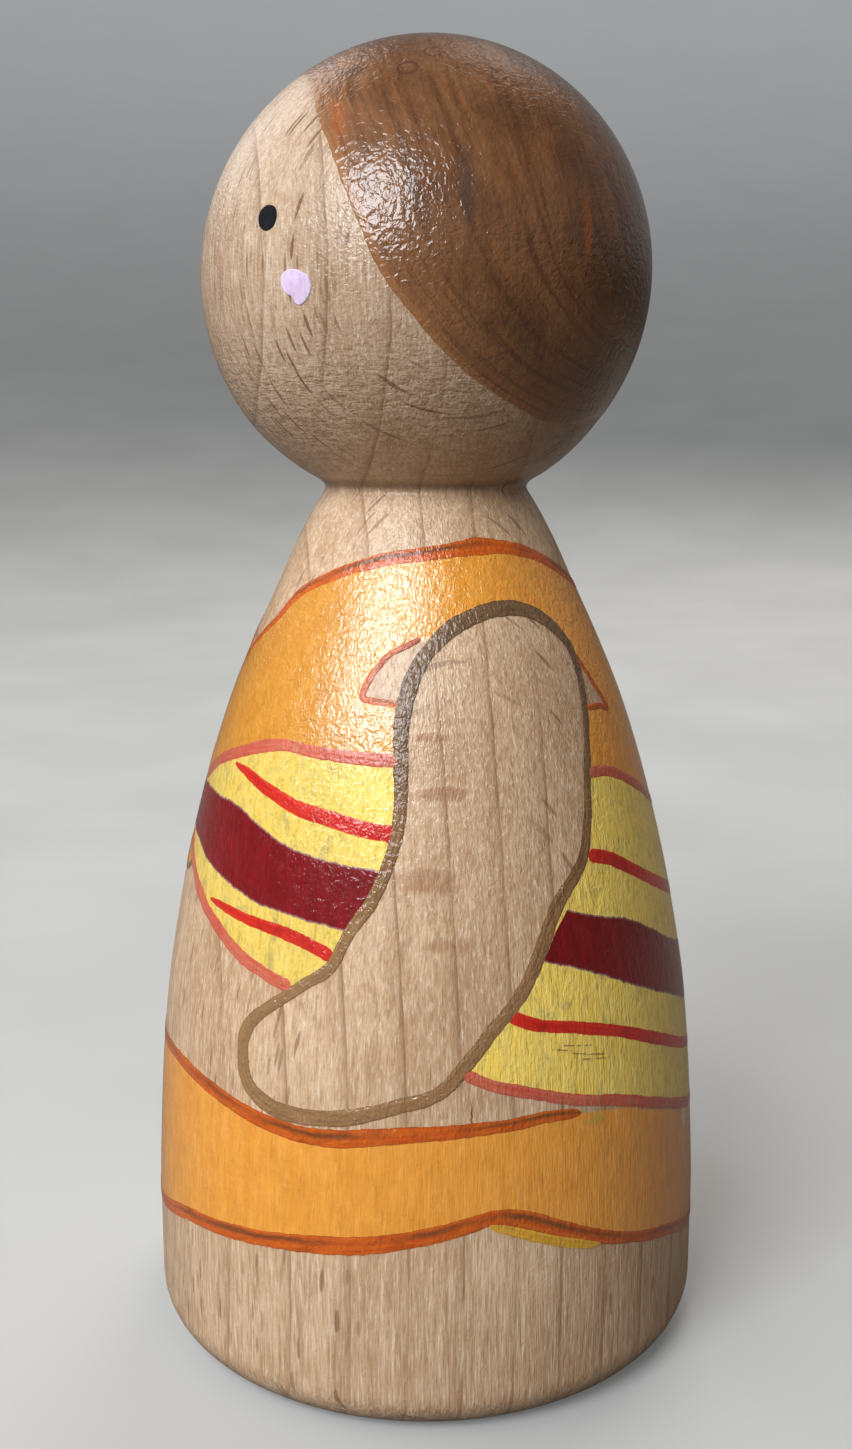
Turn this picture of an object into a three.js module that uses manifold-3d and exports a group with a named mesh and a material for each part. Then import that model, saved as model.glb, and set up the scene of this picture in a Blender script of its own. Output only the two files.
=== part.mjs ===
// A lathe-turned wooden peg doll with a hand-painted figure on it.
// Frame: origin at the centre of the flat base, +Z up, the doll faces -Y, millimetres.
// The wood is one turned blank. Every paint application is a thin film of its own that lies on the
// blank or above the paint below it. A point of the surface is given as [longitude, height]:
// longitude in degrees, 0 in front (-Y) and 90 on the doll's left (+X).
import * as THREE from "three";
import { mergeVertices } from "three/addons/utils/BufferGeometryUtils.js";
import Module from "manifold-3d";

const wasm = await Module();
wasm.setup();

const { lerp, smoothstep, degToRad, radToDeg } = THREE.MathUtils;

// ---------------------------------------------------------------- driving dimensions
const HEIGHT = 90; // overall, base to crown
const HEAD_RADIUS = 15.23; // at the widest ring of the ball head
const HEAD_HALF_HEIGHT = 15.4; // the ball is a hair taller than wide
const HEAD_CENTRE = HEIGHT - HEAD_HALF_HEIGHT;
const HEAD_LEAN = 0.02; // mm to the back per mm above the ball's centre
const LEAN_BLEND = 5; // height above the neck over which the lean sets in
const NECK_HEIGHT = 60.9; // the crease between ball and body
const CREASE_HALF_HEIGHT = 0.55;
const CREASE_CONTROL_RADIUS = 6.7; // middle control point of the crease curve
const CREASE_BOTTOM = NECK_HEIGHT - CREASE_HALF_HEIGHT;
const CREASE_TOP = NECK_HEIGHT + CREASE_HALF_HEIGHT;
const BASE_EDGE_RADIUS = 2.955; // rounding of the bottom edge
// [height, radius] of the bell body
const BODY_KNOTS = [
  [BASE_EDGE_RADIUS, 19.947], [9, 19.925], [16, 19.637], [24, 18.995], [32, 17.695],
  [40, 15.777], [46, 13.877], [50, 12.23], [54, 10.379], [57, 9.0], [59.2, 7.827],
  [NECK_HEIGHT, 6.763],
];
const FOOT_RADIUS = BODY_KNOTS[0][1] - BASE_EDGE_RADIUS; // flat disc the doll stands on
const SEGMENTS = 54; // facets round the axis

// heights above the wood of the stacked films: [underside, top]
const COAT = [0.08, 0.12];
const STRIPE = [0.17, 0.21];
const OUTLINE = [0.26, 0.3];
const ARM_LINE = [0.35, 0.39];

const LINE_WIDTH = 0.95; // a fine brush line

const LOOKS = {
  wood: { color: 0xcfae84, roughness: 0.42 },
  hair: { color: 0x7a4a24, roughness: 0.3 },
  eye: { color: 0x14100f, roughness: 0.35 },
  cheek: { color: 0xe9bdd0, roughness: 0.4 },
  orange: { color: 0xe79a2a, roughness: 0.38 },
  orangeLine: { color: 0xb9501c, roughness: 0.35 },
  brownLine: { color: 0x7d5a35, roughness: 0.38 },
  yellow: { color: 0xe8cc55, roughness: 0.42 },
  red: { color: 0xc62a1f, roughness: 0.38 },
  darkRed: { color: 0x841a26, roughness: 0.38 },
  pinkLine: { color: 0xc65046, roughness: 0.4 },
  underYellow: { color: 0xe0a92a, roughness: 0.4 },
};

// ---------------------------------------------------------------- the turned surface
// the body knots with slopes of a shape-preserving cubic: { z, radius, slope }
function slopedKnots() {
  const knots = BODY_KNOTS.map(([z, radius]) => ({ z, radius, slope: 0 }));
  const spans = knots.slice(1).map((knot, i) => {
    const dz = knot.z - knots[i].z;
    return { dz, slope: (knot.radius - knots[i].radius) / dz };
  });
  // the first knot stays upright, where it meets the rounded bottom edge
  knots.at(-1).slope = spans.at(-1).slope;
  for (let i = 1; i < spans.length; i++) {
    const below = spans[i - 1];
    const above = spans[i];
    if (below.slope * above.slope <= 0) continue;
    const weightBelow = 2 * above.dz + below.dz;
    const weightAbove = above.dz + 2 * below.dz;
    knots[i].slope = (weightBelow + weightAbove) /
      (weightBelow / below.slope + weightAbove / above.slope);
  }
  return knots;
}
const bodyKnots = slopedKnots();

function bodyRadius(z) {
  if (z < BASE_EDGE_RADIUS) {
    const drop = BASE_EDGE_RADIUS - Math.max(z, 0);
    return FOOT_RADIUS + Math.sqrt(Math.max(0, BASE_EDGE_RADIUS ** 2 - drop ** 2));
  }
  let i = 0;
  while (i < bodyKnots.length - 2 && z > bodyKnots[i + 1].z) i++;
  const low = bodyKnots[i];
  const high = bodyKnots[i + 1];
  const dz = high.z - low.z;
  const t = (z - low.z) / dz;
  return (2 * t ** 3 - 3 * t ** 2 + 1) * low.radius +
    (t ** 3 - 2 * t ** 2 + t) * dz * low.slope +
    (-2 * t ** 3 + 3 * t ** 2) * high.radius +
    (t ** 3 - t ** 2) * dz * high.slope;
}

function headRadius(z) {
  const k = (z - HEAD_CENTRE) / HEAD_HALF_HEIGHT;
  return HEAD_RADIUS * Math.sqrt(Math.max(0, 1 - k * k));
}

function radiusAt(z) {
  if (z <= CREASE_BOTTOM) return bodyRadius(z);
  if (z >= CREASE_TOP) return headRadius(z);
  // the rounded crease: a quadratic curve
  const t = (z - CREASE_BOTTOM) / (2 * CREASE_HALF_HEIGHT);
  return (1 - t) ** 2 * bodyRadius(CREASE_BOTTOM) +
    2 * t * (1 - t) * CREASE_CONTROL_RADIUS +
    t * t * headRadius(CREASE_TOP);
}

// how far the ball leans to the back (+Y) at a height
function leanAt(z) {
  return HEAD_LEAN * (z - HEAD_CENTRE) * smoothstep(z, NECK_HEIGHT, NECK_HEIGHT + LEAN_BLEND);
}

// outward normal of the meridian: [radial, vertical]
function meridianNormal(z) {
  const step = 0.02;
  const low = Math.max(0, z - step);
  const high = Math.min(HEIGHT - 0.001, z + step);
  const dr = radiusAt(high) - radiusAt(low);
  const dz = high - low;
  const length = Math.hypot(dr, dz);
  return [dz / length, -dr / length];
}

// [radius, height] of the meridian at height z, moved out from the wood by offset
function meridianPoint(z, offset) {
  const [radial, vertical] = meridianNormal(z);
  return [radiusAt(z) + offset * radial, z + offset * vertical];
}

function onDoll(longitude, z, offset) {
  const [radius, height] = meridianPoint(z, offset);
  const angle = degToRad(longitude);
  return [radius * Math.sin(angle), -radius * Math.cos(angle) + leanAt(z), height];
}

// ---------------------------------------------------------------- meshes and solids
const root = new THREE.Group();
root.name = "peg_doll";

function add(name, geometry, look) {
  const material = new THREE.MeshStandardMaterial({ ...LOOKS[look], metalness: 0 });
  const mesh = new THREE.Mesh(geometry, material);
  mesh.name = name;
  root.add(mesh);
}

// a copy with nothing but positions, its coincident vertices joined
function positionsOnly(geometry) {
  const copy = geometry.clone();
  for (const key of Object.keys(copy.attributes)) {
    if (key !== "position") copy.deleteAttribute(key);
  }
  return mergeVertices(copy, 1e-4);
}

function toSolid(geometry) {
  const merged = positionsOnly(geometry);
  return new wasm.Manifold(new wasm.Mesh({
    numProp: 3,
    vertProperties: new Float32Array(merged.attributes.position.array),
    triVerts: new Uint32Array(merged.index.array),
  }));
}

function fromSolid(solid) {
  const { numVert, numProp, vertProperties, triVerts } = solid.getMesh();
  const xyz = new Float32Array(numVert * 3);
  for (let i = 0; i < numVert; i++) {
    xyz.set(vertProperties.subarray(i * numProp, i * numProp + 3), 3 * i);
  }
  const geometry = new THREE.BufferGeometry();
  geometry.setAttribute("position", new THREE.BufferAttribute(xyz, 3));
  geometry.setIndex(new THREE.BufferAttribute(triVerts, 1));
  return geometry;
}

// ---------------------------------------------------------------- lines on the surface
const MM_PER_DEGREE = 0.3; // rough scale of longitude, so that curves are sampled evenly

// a smooth curve through surface points, sampled evenly
function smooth(points, steps) {
  const scaled = points.map(([longitude, z]) => new THREE.Vector3(longitude * MM_PER_DEGREE, z, 0));
  const curve = new THREE.CatmullRomCurve3(scaled, false, "centripetal");
  return curve.getSpacedPoints(steps).map(({ x, y }) => [x / MM_PER_DEGREE, y]);
}

// the height of a polyline that runs in longitude, level beyond its ends
function heightOn(line, longitude) {
  if (longitude <= line[0][0]) return line[0][1];
  const i = line.findIndex((point) => longitude <= point[0]);
  if (i < 0) return line.at(-1)[1];
  const [from, to] = [line[i - 1], line[i]];
  return lerp(from[1], to[1], (longitude - from[0]) / (to[0] - from[0]));
}

// the doll's right-hand side: the drawing mirrored, with the small differences of a free hand
function mirrored(points) {
  return points
    .map(([longitude, z]) => [
      -(longitude + 0.7 * Math.sin(z * 0.31)),
      z + 0.18 * Math.sin(longitude * 0.045),
    ])
    .reverse();
}

// a left half that starts at longitude 0, carried across the front to the right side
const acrossFront = (half) => [...mirrored(half).slice(0, -1), ...half];

// a left half that ends at longitude 180, carried across the back; longitudes run on past 180
const acrossBack = (half) => [
  ...half,
  ...mirrored(half).slice(1).map(([longitude, z]) => [longitude + 360, z]),
];

// ---------------------------------------------------------------- kinds of film
// a box whose grid is bent onto the doll; rows[j][i] = [longitude, height]
function film(name, rows, layer, look) {
  const rowSteps = rows.length - 1;
  const columnSteps = rows[0].length - 1;
  const box = new THREE.BoxGeometry(1, 1, 1, columnSteps, rowSteps, 1);
  // the underside is split along the same diagonals as the top, for one thickness all over
  const { start, count } = box.groups[5];
  const index = box.index.array;
  for (let k = start; k < start + count; k += 6) {
    const [a, b, d, , c] = index.subarray(k, k + 5);
    index.set([a, b, c, a, c, d], k);
  }
  const geometry = positionsOnly(box);
  const { position } = geometry.attributes;
  for (let k = 0; k < position.count; k++) {
    const i = Math.round((position.getX(k) + 0.5) * columnSteps);
    const j = Math.round((position.getY(k) + 0.5) * rowSteps);
    const offset = position.getZ(k) > 0 ? layer[1] : layer[0];
    position.setXYZ(k, ...onDoll(...rows[j][i], offset));
  }
  add(name, geometry, look);
}

// more rows between the given ones, so that the film follows the curved wood closely
function refined(rows, factor) {
  const out = [];
  for (let j = 0; j < rows.length - 1; j++) {
    for (let k = 0; k < factor; k++) {
      out.push(rows[j].map(([longitude, z], i) => [
        lerp(longitude, rows[j + 1][i][0], k / factor),
        lerp(z, rows[j + 1][i][1], k / factor),
      ]));
    }
  }
  out.push(rows.at(-1));
  return out;
}

// a film between two lines that run in longitude
function band(name, bottom, top, { layer, look, steps, rowSteps }) {
  film(name, refined([smooth(bottom, steps), smooth(top, steps)], rowSteps), layer, look);
}

// a brush line along a path; taper is the share of the width left at its [start, end]
function stroke(name, path, { width, layer, look, steps, taper = [0.6, 0.6] }) {
  const TAPER_RATE = 8; // the width opens out fully within 1/8 of the length
  const centre = smooth(path, steps);
  const leftEdge = [];
  const rightEdge = [];
  centre.forEach(([longitude, z], i) => {
    const before = centre[Math.max(0, i - 1)];
    const after = centre[Math.min(steps, i + 1)];
    const radius = radiusAt(z);
    const radial = meridianNormal(z)[0];
    const along = degToRad(after[0] - before[0]) * radius;
    const up = (after[1] - before[1]) / Math.max(radial, 0.2);
    const length = Math.hypot(along, up);
    const t = i / steps;
    const fullness = Math.min(
      1,
      taper[0] + (1 - taper[0]) * t * TAPER_RATE,
      taper[1] + (1 - taper[1]) * (1 - t) * TAPER_RATE,
    );
    const halfWidth = (width * fullness) / 2;
    const turn = radToDeg(((-up / length) * halfWidth) / radius);
    const rise = (along / length) * halfWidth * radial;
    leftEdge.push([longitude + turn, z + rise]);
    rightEdge.push([longitude - turn, z - rise]);
  });
  film(name, [rightEdge, leftEdge], layer, look);
}

// the same brush line on both sides; the mirrored path runs the other way, and so does its taper
function strokePair(name, path, { taper = [0.6, 0.6], ...brush }) {
  stroke(`${name}_left`, path, { ...brush, taper });
  stroke(`${name}_right`, mirrored(path), { ...brush, taper: [...taper].reverse() });
}

// A coat from one side of the doll to the other, across its front or back, between two lines.
// stations: [share of the height, longitude, height] of each row at the doll's left-hand end.
// Within "reach" degrees of that end (and of its mirror image) a row bends to the station's height;
// with bendEdges false the lowest and highest rows stay on the lines.
function panel(name, {
  stations, low, high, lowInset, highInset, reach, steps, look, back = false, bendEdges = true,
}) {
  const rows = stations.map(([share, sideLongitude, sideHeight], j) => {
    const mirrorLongitude = mirrored([[sideLongitude, sideHeight]])[0][0];
    const from = back ? sideLongitude : mirrorLongitude;
    const to = back ? mirrorLongitude + 360 : sideLongitude;
    const bends = bendEdges || (j > 0 && j < stations.length - 1);
    return Array.from({ length: steps + 1 }, (_, i) => {
      const longitude = lerp(from, to, i / steps);
      const fromFront = longitude <= 180 ? Math.abs(longitude) : 360 - longitude;
      const bottom = heightOn(low, fromFront) + lowInset;
      const top = heightOn(high, fromFront) - highInset;
      const z = lerp(bottom, top, share);
      const pull = bends ? Math.max(0, 1 - Math.abs(fromFront - sideLongitude) / reach) : 0;
      return [longitude, lerp(z, sideHeight, pull)];
    });
  });
  film(name, refined(rows, 2), COAT, look);
}

// ---------------------------------------------------------------- wood
// heights of the turned rings, from the base up
function ringHeights() {
  const EDGE_STEPS = 4;
  const HEAD_STEPS = 13; // the last one ends at the crown
  const heights = [];
  for (let k = 0; k <= EDGE_STEPS; k++) {
    heights.push(BASE_EDGE_RADIUS * (1 - Math.cos((k / EDGE_STEPS) * (Math.PI / 2))));
  }
  for (let z = 8; z < 57; z += 5) heights.push(z);
  heights.push(58, 59.5, CREASE_BOTTOM, NECK_HEIGHT - 0.2, NECK_HEIGHT + 0.15, CREASE_TOP);
  const startAngle = Math.asin((CREASE_TOP - HEAD_CENTRE) / HEAD_HALF_HEIGHT);
  for (let k = 1; k < HEAD_STEPS; k++) {
    const angle = lerp(startAngle, Math.PI / 2, k / HEAD_STEPS);
    heights.push(HEAD_CENTRE + HEAD_HALF_HEIGHT * Math.sin(angle));
  }
  return heights;
}
const RINGS = ringHeights();

// a closed turned solid through the given rings up to the crown, offset from the wood
function turned(rings, offset) {
  const profile = rings.map((z) => new THREE.Vector2(...meridianPoint(z, offset)));
  profile.unshift(new THREE.Vector2(0, profile[0].y));
  profile.push(new THREE.Vector2(0, HEIGHT + offset));
  const geometry = positionsOnly(new THREE.LatheGeometry(profile, SEGMENTS));
  geometry.rotateX(Math.PI / 2);
  const { position } = geometry.attributes;
  for (let k = 0; k < position.count; k++) {
    position.setY(k, position.getY(k) + leanAt(position.getZ(k)));
  }
  return geometry;
}

// ---------------------------------------------------------------- hair
// [y, z] of the edge of the hair seen from the side, from the brow over the ear to the nape
const HAIRLINE = [
  [-9.2, 88.6], [-8.55, 87.4], [-8.4, 86.35], [-8.3, 84.8], [-8.25, 83.35], [-7.9, 81.5],
  [-7.45, 79.9], [-6.5, 77.0], [-5.8, 75.2], [-5.0, 73.6], [-3.65, 71.75], [-1.7, 69.6],
  [0.83, 67.6], [3.1, 66.35], [5.4, 65.35], [7.6, 65.05], [11.1, 65.5], [13.2, 65.7],
];

// a block over everything above and behind the hairline
function hairCutter() {
  const margin = 3; // beyond the head all round
  const reach = HEAD_RADIUS + margin;
  const points = HAIRLINE.map(([y, z]) => new THREE.Vector2(y, z));
  const edge = new THREE.SplineCurve(points).getPoints(30);
  const outline = new THREE.Shape([
    new THREE.Vector2(edge[0].x - 0.5, HEIGHT + margin),
    ...edge,
    new THREE.Vector2(reach, edge.at(-1).y),
    new THREE.Vector2(reach, HEIGHT + margin),
  ]);
  outline.closePath();
  const block = new THREE.ExtrudeGeometry(outline, { depth: 2 * reach, bevelEnabled: false });
  block.translate(0, 0, -reach);
  // drawing x -> +Y, drawing y -> +Z, depth -> +X
  return block.applyMatrix4(new THREE.Matrix4().makeBasis(
    new THREE.Vector3(0, 1, 0),
    new THREE.Vector3(0, 0, 1),
    new THREE.Vector3(1, 0, 0),
  ));
}

// a shell on the ball, cut along the hairline
function paintHair() {
  const rings = RINGS.filter((z) => z > NECK_HEIGHT + 1);
  const [inner, outer] = COAT.map((offset) => toSolid(turned(rings, offset)));
  const cap = outer.subtract(inner).intersect(toSolid(hairCutter()));
  add("hair_paint", fromSolid(cap), "hair");
}

// ---------------------------------------------------------------- face
// at: [longitude, height], size: [width, height]
const EYE = { at: [39.6, 77.37], size: [1.22, 1.5] };
const CHEEK = { at: [49.0, 73.21], size: [1.95, 2.15] };

// an oval spot: a square grid pressed into a disc; side is 1 for the doll's left, -1 for its right
function spot(name, { at, size }, look, side) {
  const STEPS = 4;
  const [longitude, z] = at;
  const radius = radiusAt(z);
  const radial = meridianNormal(z)[0];
  const rows = [];
  for (let j = 0; j <= STEPS; j++) {
    const row = [];
    for (let i = 0; i <= STEPS; i++) {
      const x = (2 * i) / STEPS - 1;
      const y = (2 * j) / STEPS - 1;
      const across = x * Math.sqrt(1 - (y * y) / 2) * (size[0] / 2);
      const up = y * Math.sqrt(1 - (x * x) / 2) * (size[1] / 2);
      row.push([side * longitude + radToDeg(across / radius), z + up * radial]);
    }
    rows.push(row);
  }
  film(name, rows, COAT, look);
}

function paintFace() {
  for (const [look, place] of [["eye", EYE], ["cheek", CHEEK]]) {
    spot(`${look}_left`, place, look, 1);
    spot(`${look}_right`, place, look, -1);
  }
}

// ---------------------------------------------------------------- edges of the wrap
// All tables from here on are the left-hand half of the figure, [longitude, height].
const WRAP_TOP_FRONT = [
  [0, 40.75], [6, 41.6], [13, 42.5], [21.8, 43.34], [38.7, 44.48], [50.5, 44.39], [61.4, 44.26],
  [73.2, 44.21],
];
const WRAP_BOTTOM_FRONT = [
  [0, 36.35], [3, 35.75], [8, 35.0], [14.3, 34.1], [21.1, 32.99], [29.6, 31.92], [37.7, 30.81],
  [43.9, 30.25], [48.3, 29.88], [51.6, 29.75],
];
const WRAP_TOP_BACK = [
  [124.6, 42.6], [132.7, 42.35], [141.1, 41.5], [151.1, 40.2], [159, 39.1], [169, 38.2],
  [180, 37.9],
];
const WRAP_BOTTOM_BACK = [
  [87.4, 25.0], [92.4, 24.19], [99.8, 23.44], [107.8, 22.57], [121.9, 21.23], [134.5, 19.66],
  [155, 17.0], [168, 16.1], [180, 15.8],
];

// ---------------------------------------------------------------- the top
const NECKLINE = [
  [0.6, 48.95], [2.6, 49.7], [8.5, 50.7], [18, 52.2], [25.4, 53.75], [43, 55.3], [62, 56.3],
  [82.3, 56.8], [102, 57.15], [117, 56.95], [134, 56.2], [148, 55.1], [163.5, 54.0],
  [172, 53.6], [179.4, 53.5],
];
const SLEEVE_EDGE_FRONT = [[78.2, 51.55], [67.2, 50.24], [61.9, 47.95], [65.2, 47.72], [72.6, 47.6]];
const SLEEVE_EDGE_BACK = [
  [134.2, 49.9], [137.6, 48.4], [141.2, 46.9], [142.6, 46.1], [138.0, 46.4], [131.3, 46.5],
];
const SLEEVE_BOTTOM = [
  [79.2, 51.4], [87.6, 52.45], [97.8, 53.3], [108.4, 53.6], [119.8, 53.2], [127.7, 52.2],
  [132.6, 50.9],
];
const SLEEVE_TOP = [
  [80.1, 56.2], [90, 56.6], [102, 56.8], [112, 56.7], [122, 56.4], [129, 56.1], [134.5, 55.7],
];
// [share, longitude, height]: wrap edge, below the bare wedge beside the sleeve, wedge bottom,
// wedge side, sleeve, neckline
const TOP_FRONT_STATIONS = [
  [0, 73.2, 44.4], [0.25, 73.0, 47.35], [0.3, 61.3, 47.7], [0.51, 66.6, 50.45],
  [0.63, 77.6, 51.8], [1, 79.5, 56.2],
];
const TOP_BACK_STATIONS = [
  [0, 125.2, 42.85], [0.27, 131.5, 46.1], [0.31, 143.6, 46.4], [0.48, 138.6, 48.7],
  [0.61, 134.6, 50.4], [1, 135.3, 55.6],
];
const HEM_BOTTOM = [[0, 34.3], [3, 34.5], [6, 34.95]];
const HEM_TOP = [[0, 36.2], [3, 35.6], [6, 35.15]];
const HEM_OUTLINE = [[0, 34.05], [3.5, 34.3], [7.2, 34.55]];

function paintTop() {
  const coat = { high: NECKLINE, lowInset: 0.1, highInset: 0.05, look: "orange", bendEdges: false };
  panel("top_front_paint", {
    ...coat, stations: TOP_FRONT_STATIONS, low: WRAP_TOP_FRONT, reach: 14, steps: 28,
  });
  // the strips over the shoulders between the arm line and the neckline
  const sleeve = { layer: COAT, look: "orange", steps: 12, rowSteps: 2 };
  band("sleeve_left_paint", SLEEVE_BOTTOM, SLEEVE_TOP, sleeve);
  band("sleeve_right_paint", mirrored(SLEEVE_BOTTOM), mirrored(SLEEVE_TOP), sleeve);
  panel("top_back_paint", {
    ...coat, stations: TOP_BACK_STATIONS, low: WRAP_TOP_BACK, reach: 12, steps: 20, back: true,
  });
}

// the hem shows as a small point under the wrap, in the middle of the front
function paintHem() {
  band("top_hem_paint", acrossFront(HEM_BOTTOM), acrossFront(HEM_TOP), {
    layer: COAT, look: "orange", steps: 8, rowSteps: 1,
  });
  stroke("top_hem_outline", acrossFront(HEM_OUTLINE), {
    width: 0.45, layer: OUTLINE, look: "brownLine", steps: 10, taper: [0.5, 0.5],
  });
}

function paintTopOutlines() {
  const line = { layer: OUTLINE, look: "orangeLine" };
  strokePair("neckline_outline", NECKLINE, { ...line, width: LINE_WIDTH, steps: 34 });
  strokePair("sleeve_edge_front", SLEEVE_EDGE_FRONT, { ...line, width: 0.5, steps: 10 });
  strokePair("sleeve_edge_back", SLEEVE_EDGE_BACK, { ...line, width: 0.45, steps: 10 });
}

// ---------------------------------------------------------------- the striped wrap
// [share, longitude, height]
const WRAP_FRONT_STATIONS = [
  [0, 51.6, 29.95], [0.2, 60.5, 31.6], [0.42, 67.2, 35.0], [0.68, 72.4, 38.9], [1, 73.2, 44.1],
];
const WRAP_BACK_STATIONS = [
  [0, 87.6, 25.2], [0.27, 98.3, 29.6], [0.5, 105.8, 33.6], [0.72, 117.5, 37.6],
  [1, 124.6, 42.45],
];
const BROAD_TOP_FRONT = [
  [0, 40.3], [9.8, 40.3], [27.9, 40.08], [38.4, 39.19], [49.7, 38.23], [61.1, 37.78],
  [71, 37.54],
];
const BROAD_BOTTOM_FRONT = [
  [0, 36.75], [7, 36.62], [18.4, 35.8], [35.4, 34.77], [42.1, 34.39], [51.7, 34.06],
  [59.9, 33.81], [64.2, 33.5],
];
const BROAD_TOP_BACK = [
  [111.9, 34.5], [119.1, 33.78], [129, 32.9], [139.6, 31.3], [151, 29.6], [163, 28.3],
  [172, 27.7], [180, 27.5],
];
const BROAD_BOTTOM_BACK = [
  [104.9, 31.5], [111.8, 30.75], [120.9, 29.5], [128.2, 28.44], [138.1, 27.0], [150, 25.4],
  [163, 23.9], [172, 23.2], [180, 23.0],
];
const UPPER_STRIPE_FRONT = [
  [21.5, 42.6], [28, 42.15], [35.7, 41.5], [48.3, 40.54], [57.6, 40.35], [66.4, 39.97],
  [72.9, 39.8],
];
const UPPER_STRIPE_BACK = [
  [119.9, 37.5], [126.4, 37.0], [135, 35.7], [148, 33.8], [164, 32.0], [172, 31.5],
  [180, 31.3],
];
const LOWER_STRIPE_FRONT = [
  [23.2, 33.62], [30, 33.5], [37.5, 33.28], [47.5, 33.05], [55.4, 32.55], [60.6, 31.95],
];
const LOWER_STRIPE_BACK = [
  [96.6, 28.45], [101.3, 27.73], [113.2, 26.79], [123.1, 25.8], [136.1, 24.0], [156.3, 21.3],
  [168, 20.4], [180, 20.1],
];

function paintWrapGround() {
  const ground = { lowInset: 0.1, highInset: 0.1, reach: 16, look: "yellow" };
  panel("wrap_front_paint", {
    ...ground, stations: WRAP_FRONT_STATIONS, low: WRAP_BOTTOM_FRONT, high: WRAP_TOP_FRONT,
    steps: 26,
  });
  panel("wrap_back_paint", {
    ...ground, stations: WRAP_BACK_STATIONS, low: WRAP_BOTTOM_BACK, high: WRAP_TOP_BACK,
    steps: 28, back: true,
  });
}

function paintWrapStripes() {
  const broad = { layer: STRIPE, look: "darkRed", rowSteps: 2 };
  band("broad_stripe_front", acrossFront(BROAD_BOTTOM_FRONT), acrossFront(BROAD_TOP_FRONT), {
    ...broad, steps: 30,
  });
  band("broad_stripe_back", acrossBack(BROAD_BOTTOM_BACK), acrossBack(BROAD_TOP_BACK), {
    ...broad, steps: 32,
  });
  const upper = { width: 0.85, layer: STRIPE, look: "red" };
  strokePair("upper_stripe_front", UPPER_STRIPE_FRONT, { ...upper, steps: 14, taper: [0.3, 1] });
  stroke("upper_stripe_back", acrossBack(UPPER_STRIPE_BACK), {
    ...upper, steps: 26, taper: [1, 1],
  });
  const lower = { width: 0.75, layer: STRIPE, look: "red" };
  strokePair("lower_stripe_front", LOWER_STRIPE_FRONT, { ...lower, steps: 12, taper: [0.4, 1] });
  stroke("lower_stripe_back", acrossBack(LOWER_STRIPE_BACK), {
    ...lower, steps: 32, taper: [1, 1],
  });
}

function paintWrapOutlines() {
  const line = { layer: OUTLINE, look: "pinkLine", taper: [1, 1] };
  stroke("wrap_upper_outline_front", acrossFront(WRAP_TOP_FRONT), {
    ...line, width: 0.8, steps: 30,
  });
  stroke("wrap_upper_outline_back", acrossBack(WRAP_TOP_BACK), { ...line, width: 0.8, steps: 24 });
  stroke("wrap_lower_outline_front", acrossFront(WRAP_BOTTOM_FRONT), {
    ...line, width: 0.75, steps: 24, taper: [0.6, 0.6],
  });
  stroke("wrap_lower_outline_back", acrossBack(WRAP_BOTTOM_BACK), {
    ...line, width: 0.7, steps: 36,
  });
}

// ---------------------------------------------------------------- the arms
// bare wood inside a brown line: over the shoulder, down the back edge to the hand, and up again
const ARM = [
  [81, 50.83], [87.6, 52.08], [97.8, 52.94], [108.4, 53.27], [119.8, 52.8], [127.7, 51.77],
  [132.6, 50.37], [132.8, 48.82], [130.3, 46.63], [127.3, 44.55], [124, 41.99], [121.3, 39.49],
  [118.3, 37.47], [114.5, 36.32], [110, 35.02], [106.9, 33.66], [104.8, 32.43], [102, 30.85],
  [98.6, 29.36], [93.6, 27.77], [89, 26.06], [85.3, 24.67], [81.8, 23.68], [74.8, 22.95],
  [67, 22.18], [59, 21.66], [50.9, 21.6], [46.3, 22.0], [42.5, 22.8], [40.8, 24.44],
  [40.9, 25.79], [42, 26.73], [45.6, 27.91], [51.4, 29.3], [54.3, 30.01], [60.0, 31.3],
  [63.8, 33.62], [67.4, 35.17], [70, 36.68], [72.2, 38.41], [73.6, 40.05], [74.1, 42.17],
  [73.8, 44.21], [73.5, 46.25], [74.5, 47.94], [76.9, 49.62],
];
const ARM_SEAM = [0.35, 0.12]; // the loop ends this far short of its start, [longitude, height]

function paintArms() {
  const end = [ARM[0][0] - ARM_SEAM[0], ARM[0][1] - ARM_SEAM[1]];
  strokePair("arm_outline", [...ARM, end], {
    width: LINE_WIDTH, layer: ARM_LINE, look: "brownLine", steps: 56, taper: [1, 1],
  });
}

// ---------------------------------------------------------------- hip band
const HIP_TOP = [
  [0, 21.72], [4.1, 21.75], [18.4, 21.9], [32.5, 21.35], [42.2, 20.85], [50.3, 20.5],
  [57.2, 20.4], [65.3, 20.6], [70.7, 20.9], [85.2, 21.3], [96, 21.45], [103.7, 21.6],
  [111.4, 21.35],
];
// goes on from the end of HIP_TOP
const HIP_TOP_BACK = [[121.9, 20.7], [134.5, 19.2], [155, 16.6], [168, 15.7], [180, 15.4]];
const HIP_BOTTOM = [
  [0, 9.55], [4, 9.6], [9, 9.95], [16, 10.6], [24.6, 11.4], [36.2, 12.04], [47, 12.6],
  [57.4, 13.1], [68, 13.56], [74.9, 14.03], [81.8, 14.53], [88.7, 15.15], [92.8, 15.4],
  [99.3, 14.94], [107.1, 13.76], [115.8, 12.4], [126.3, 11.1], [135.9, 10.1], [152, 8.3],
  [166, 7.6], [180, 7.4],
];
const UNDER_STREAK = [[91.5, 14.35], [95.7, 13.75], [103.2, 12.75], [113, 11.85]];

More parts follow.
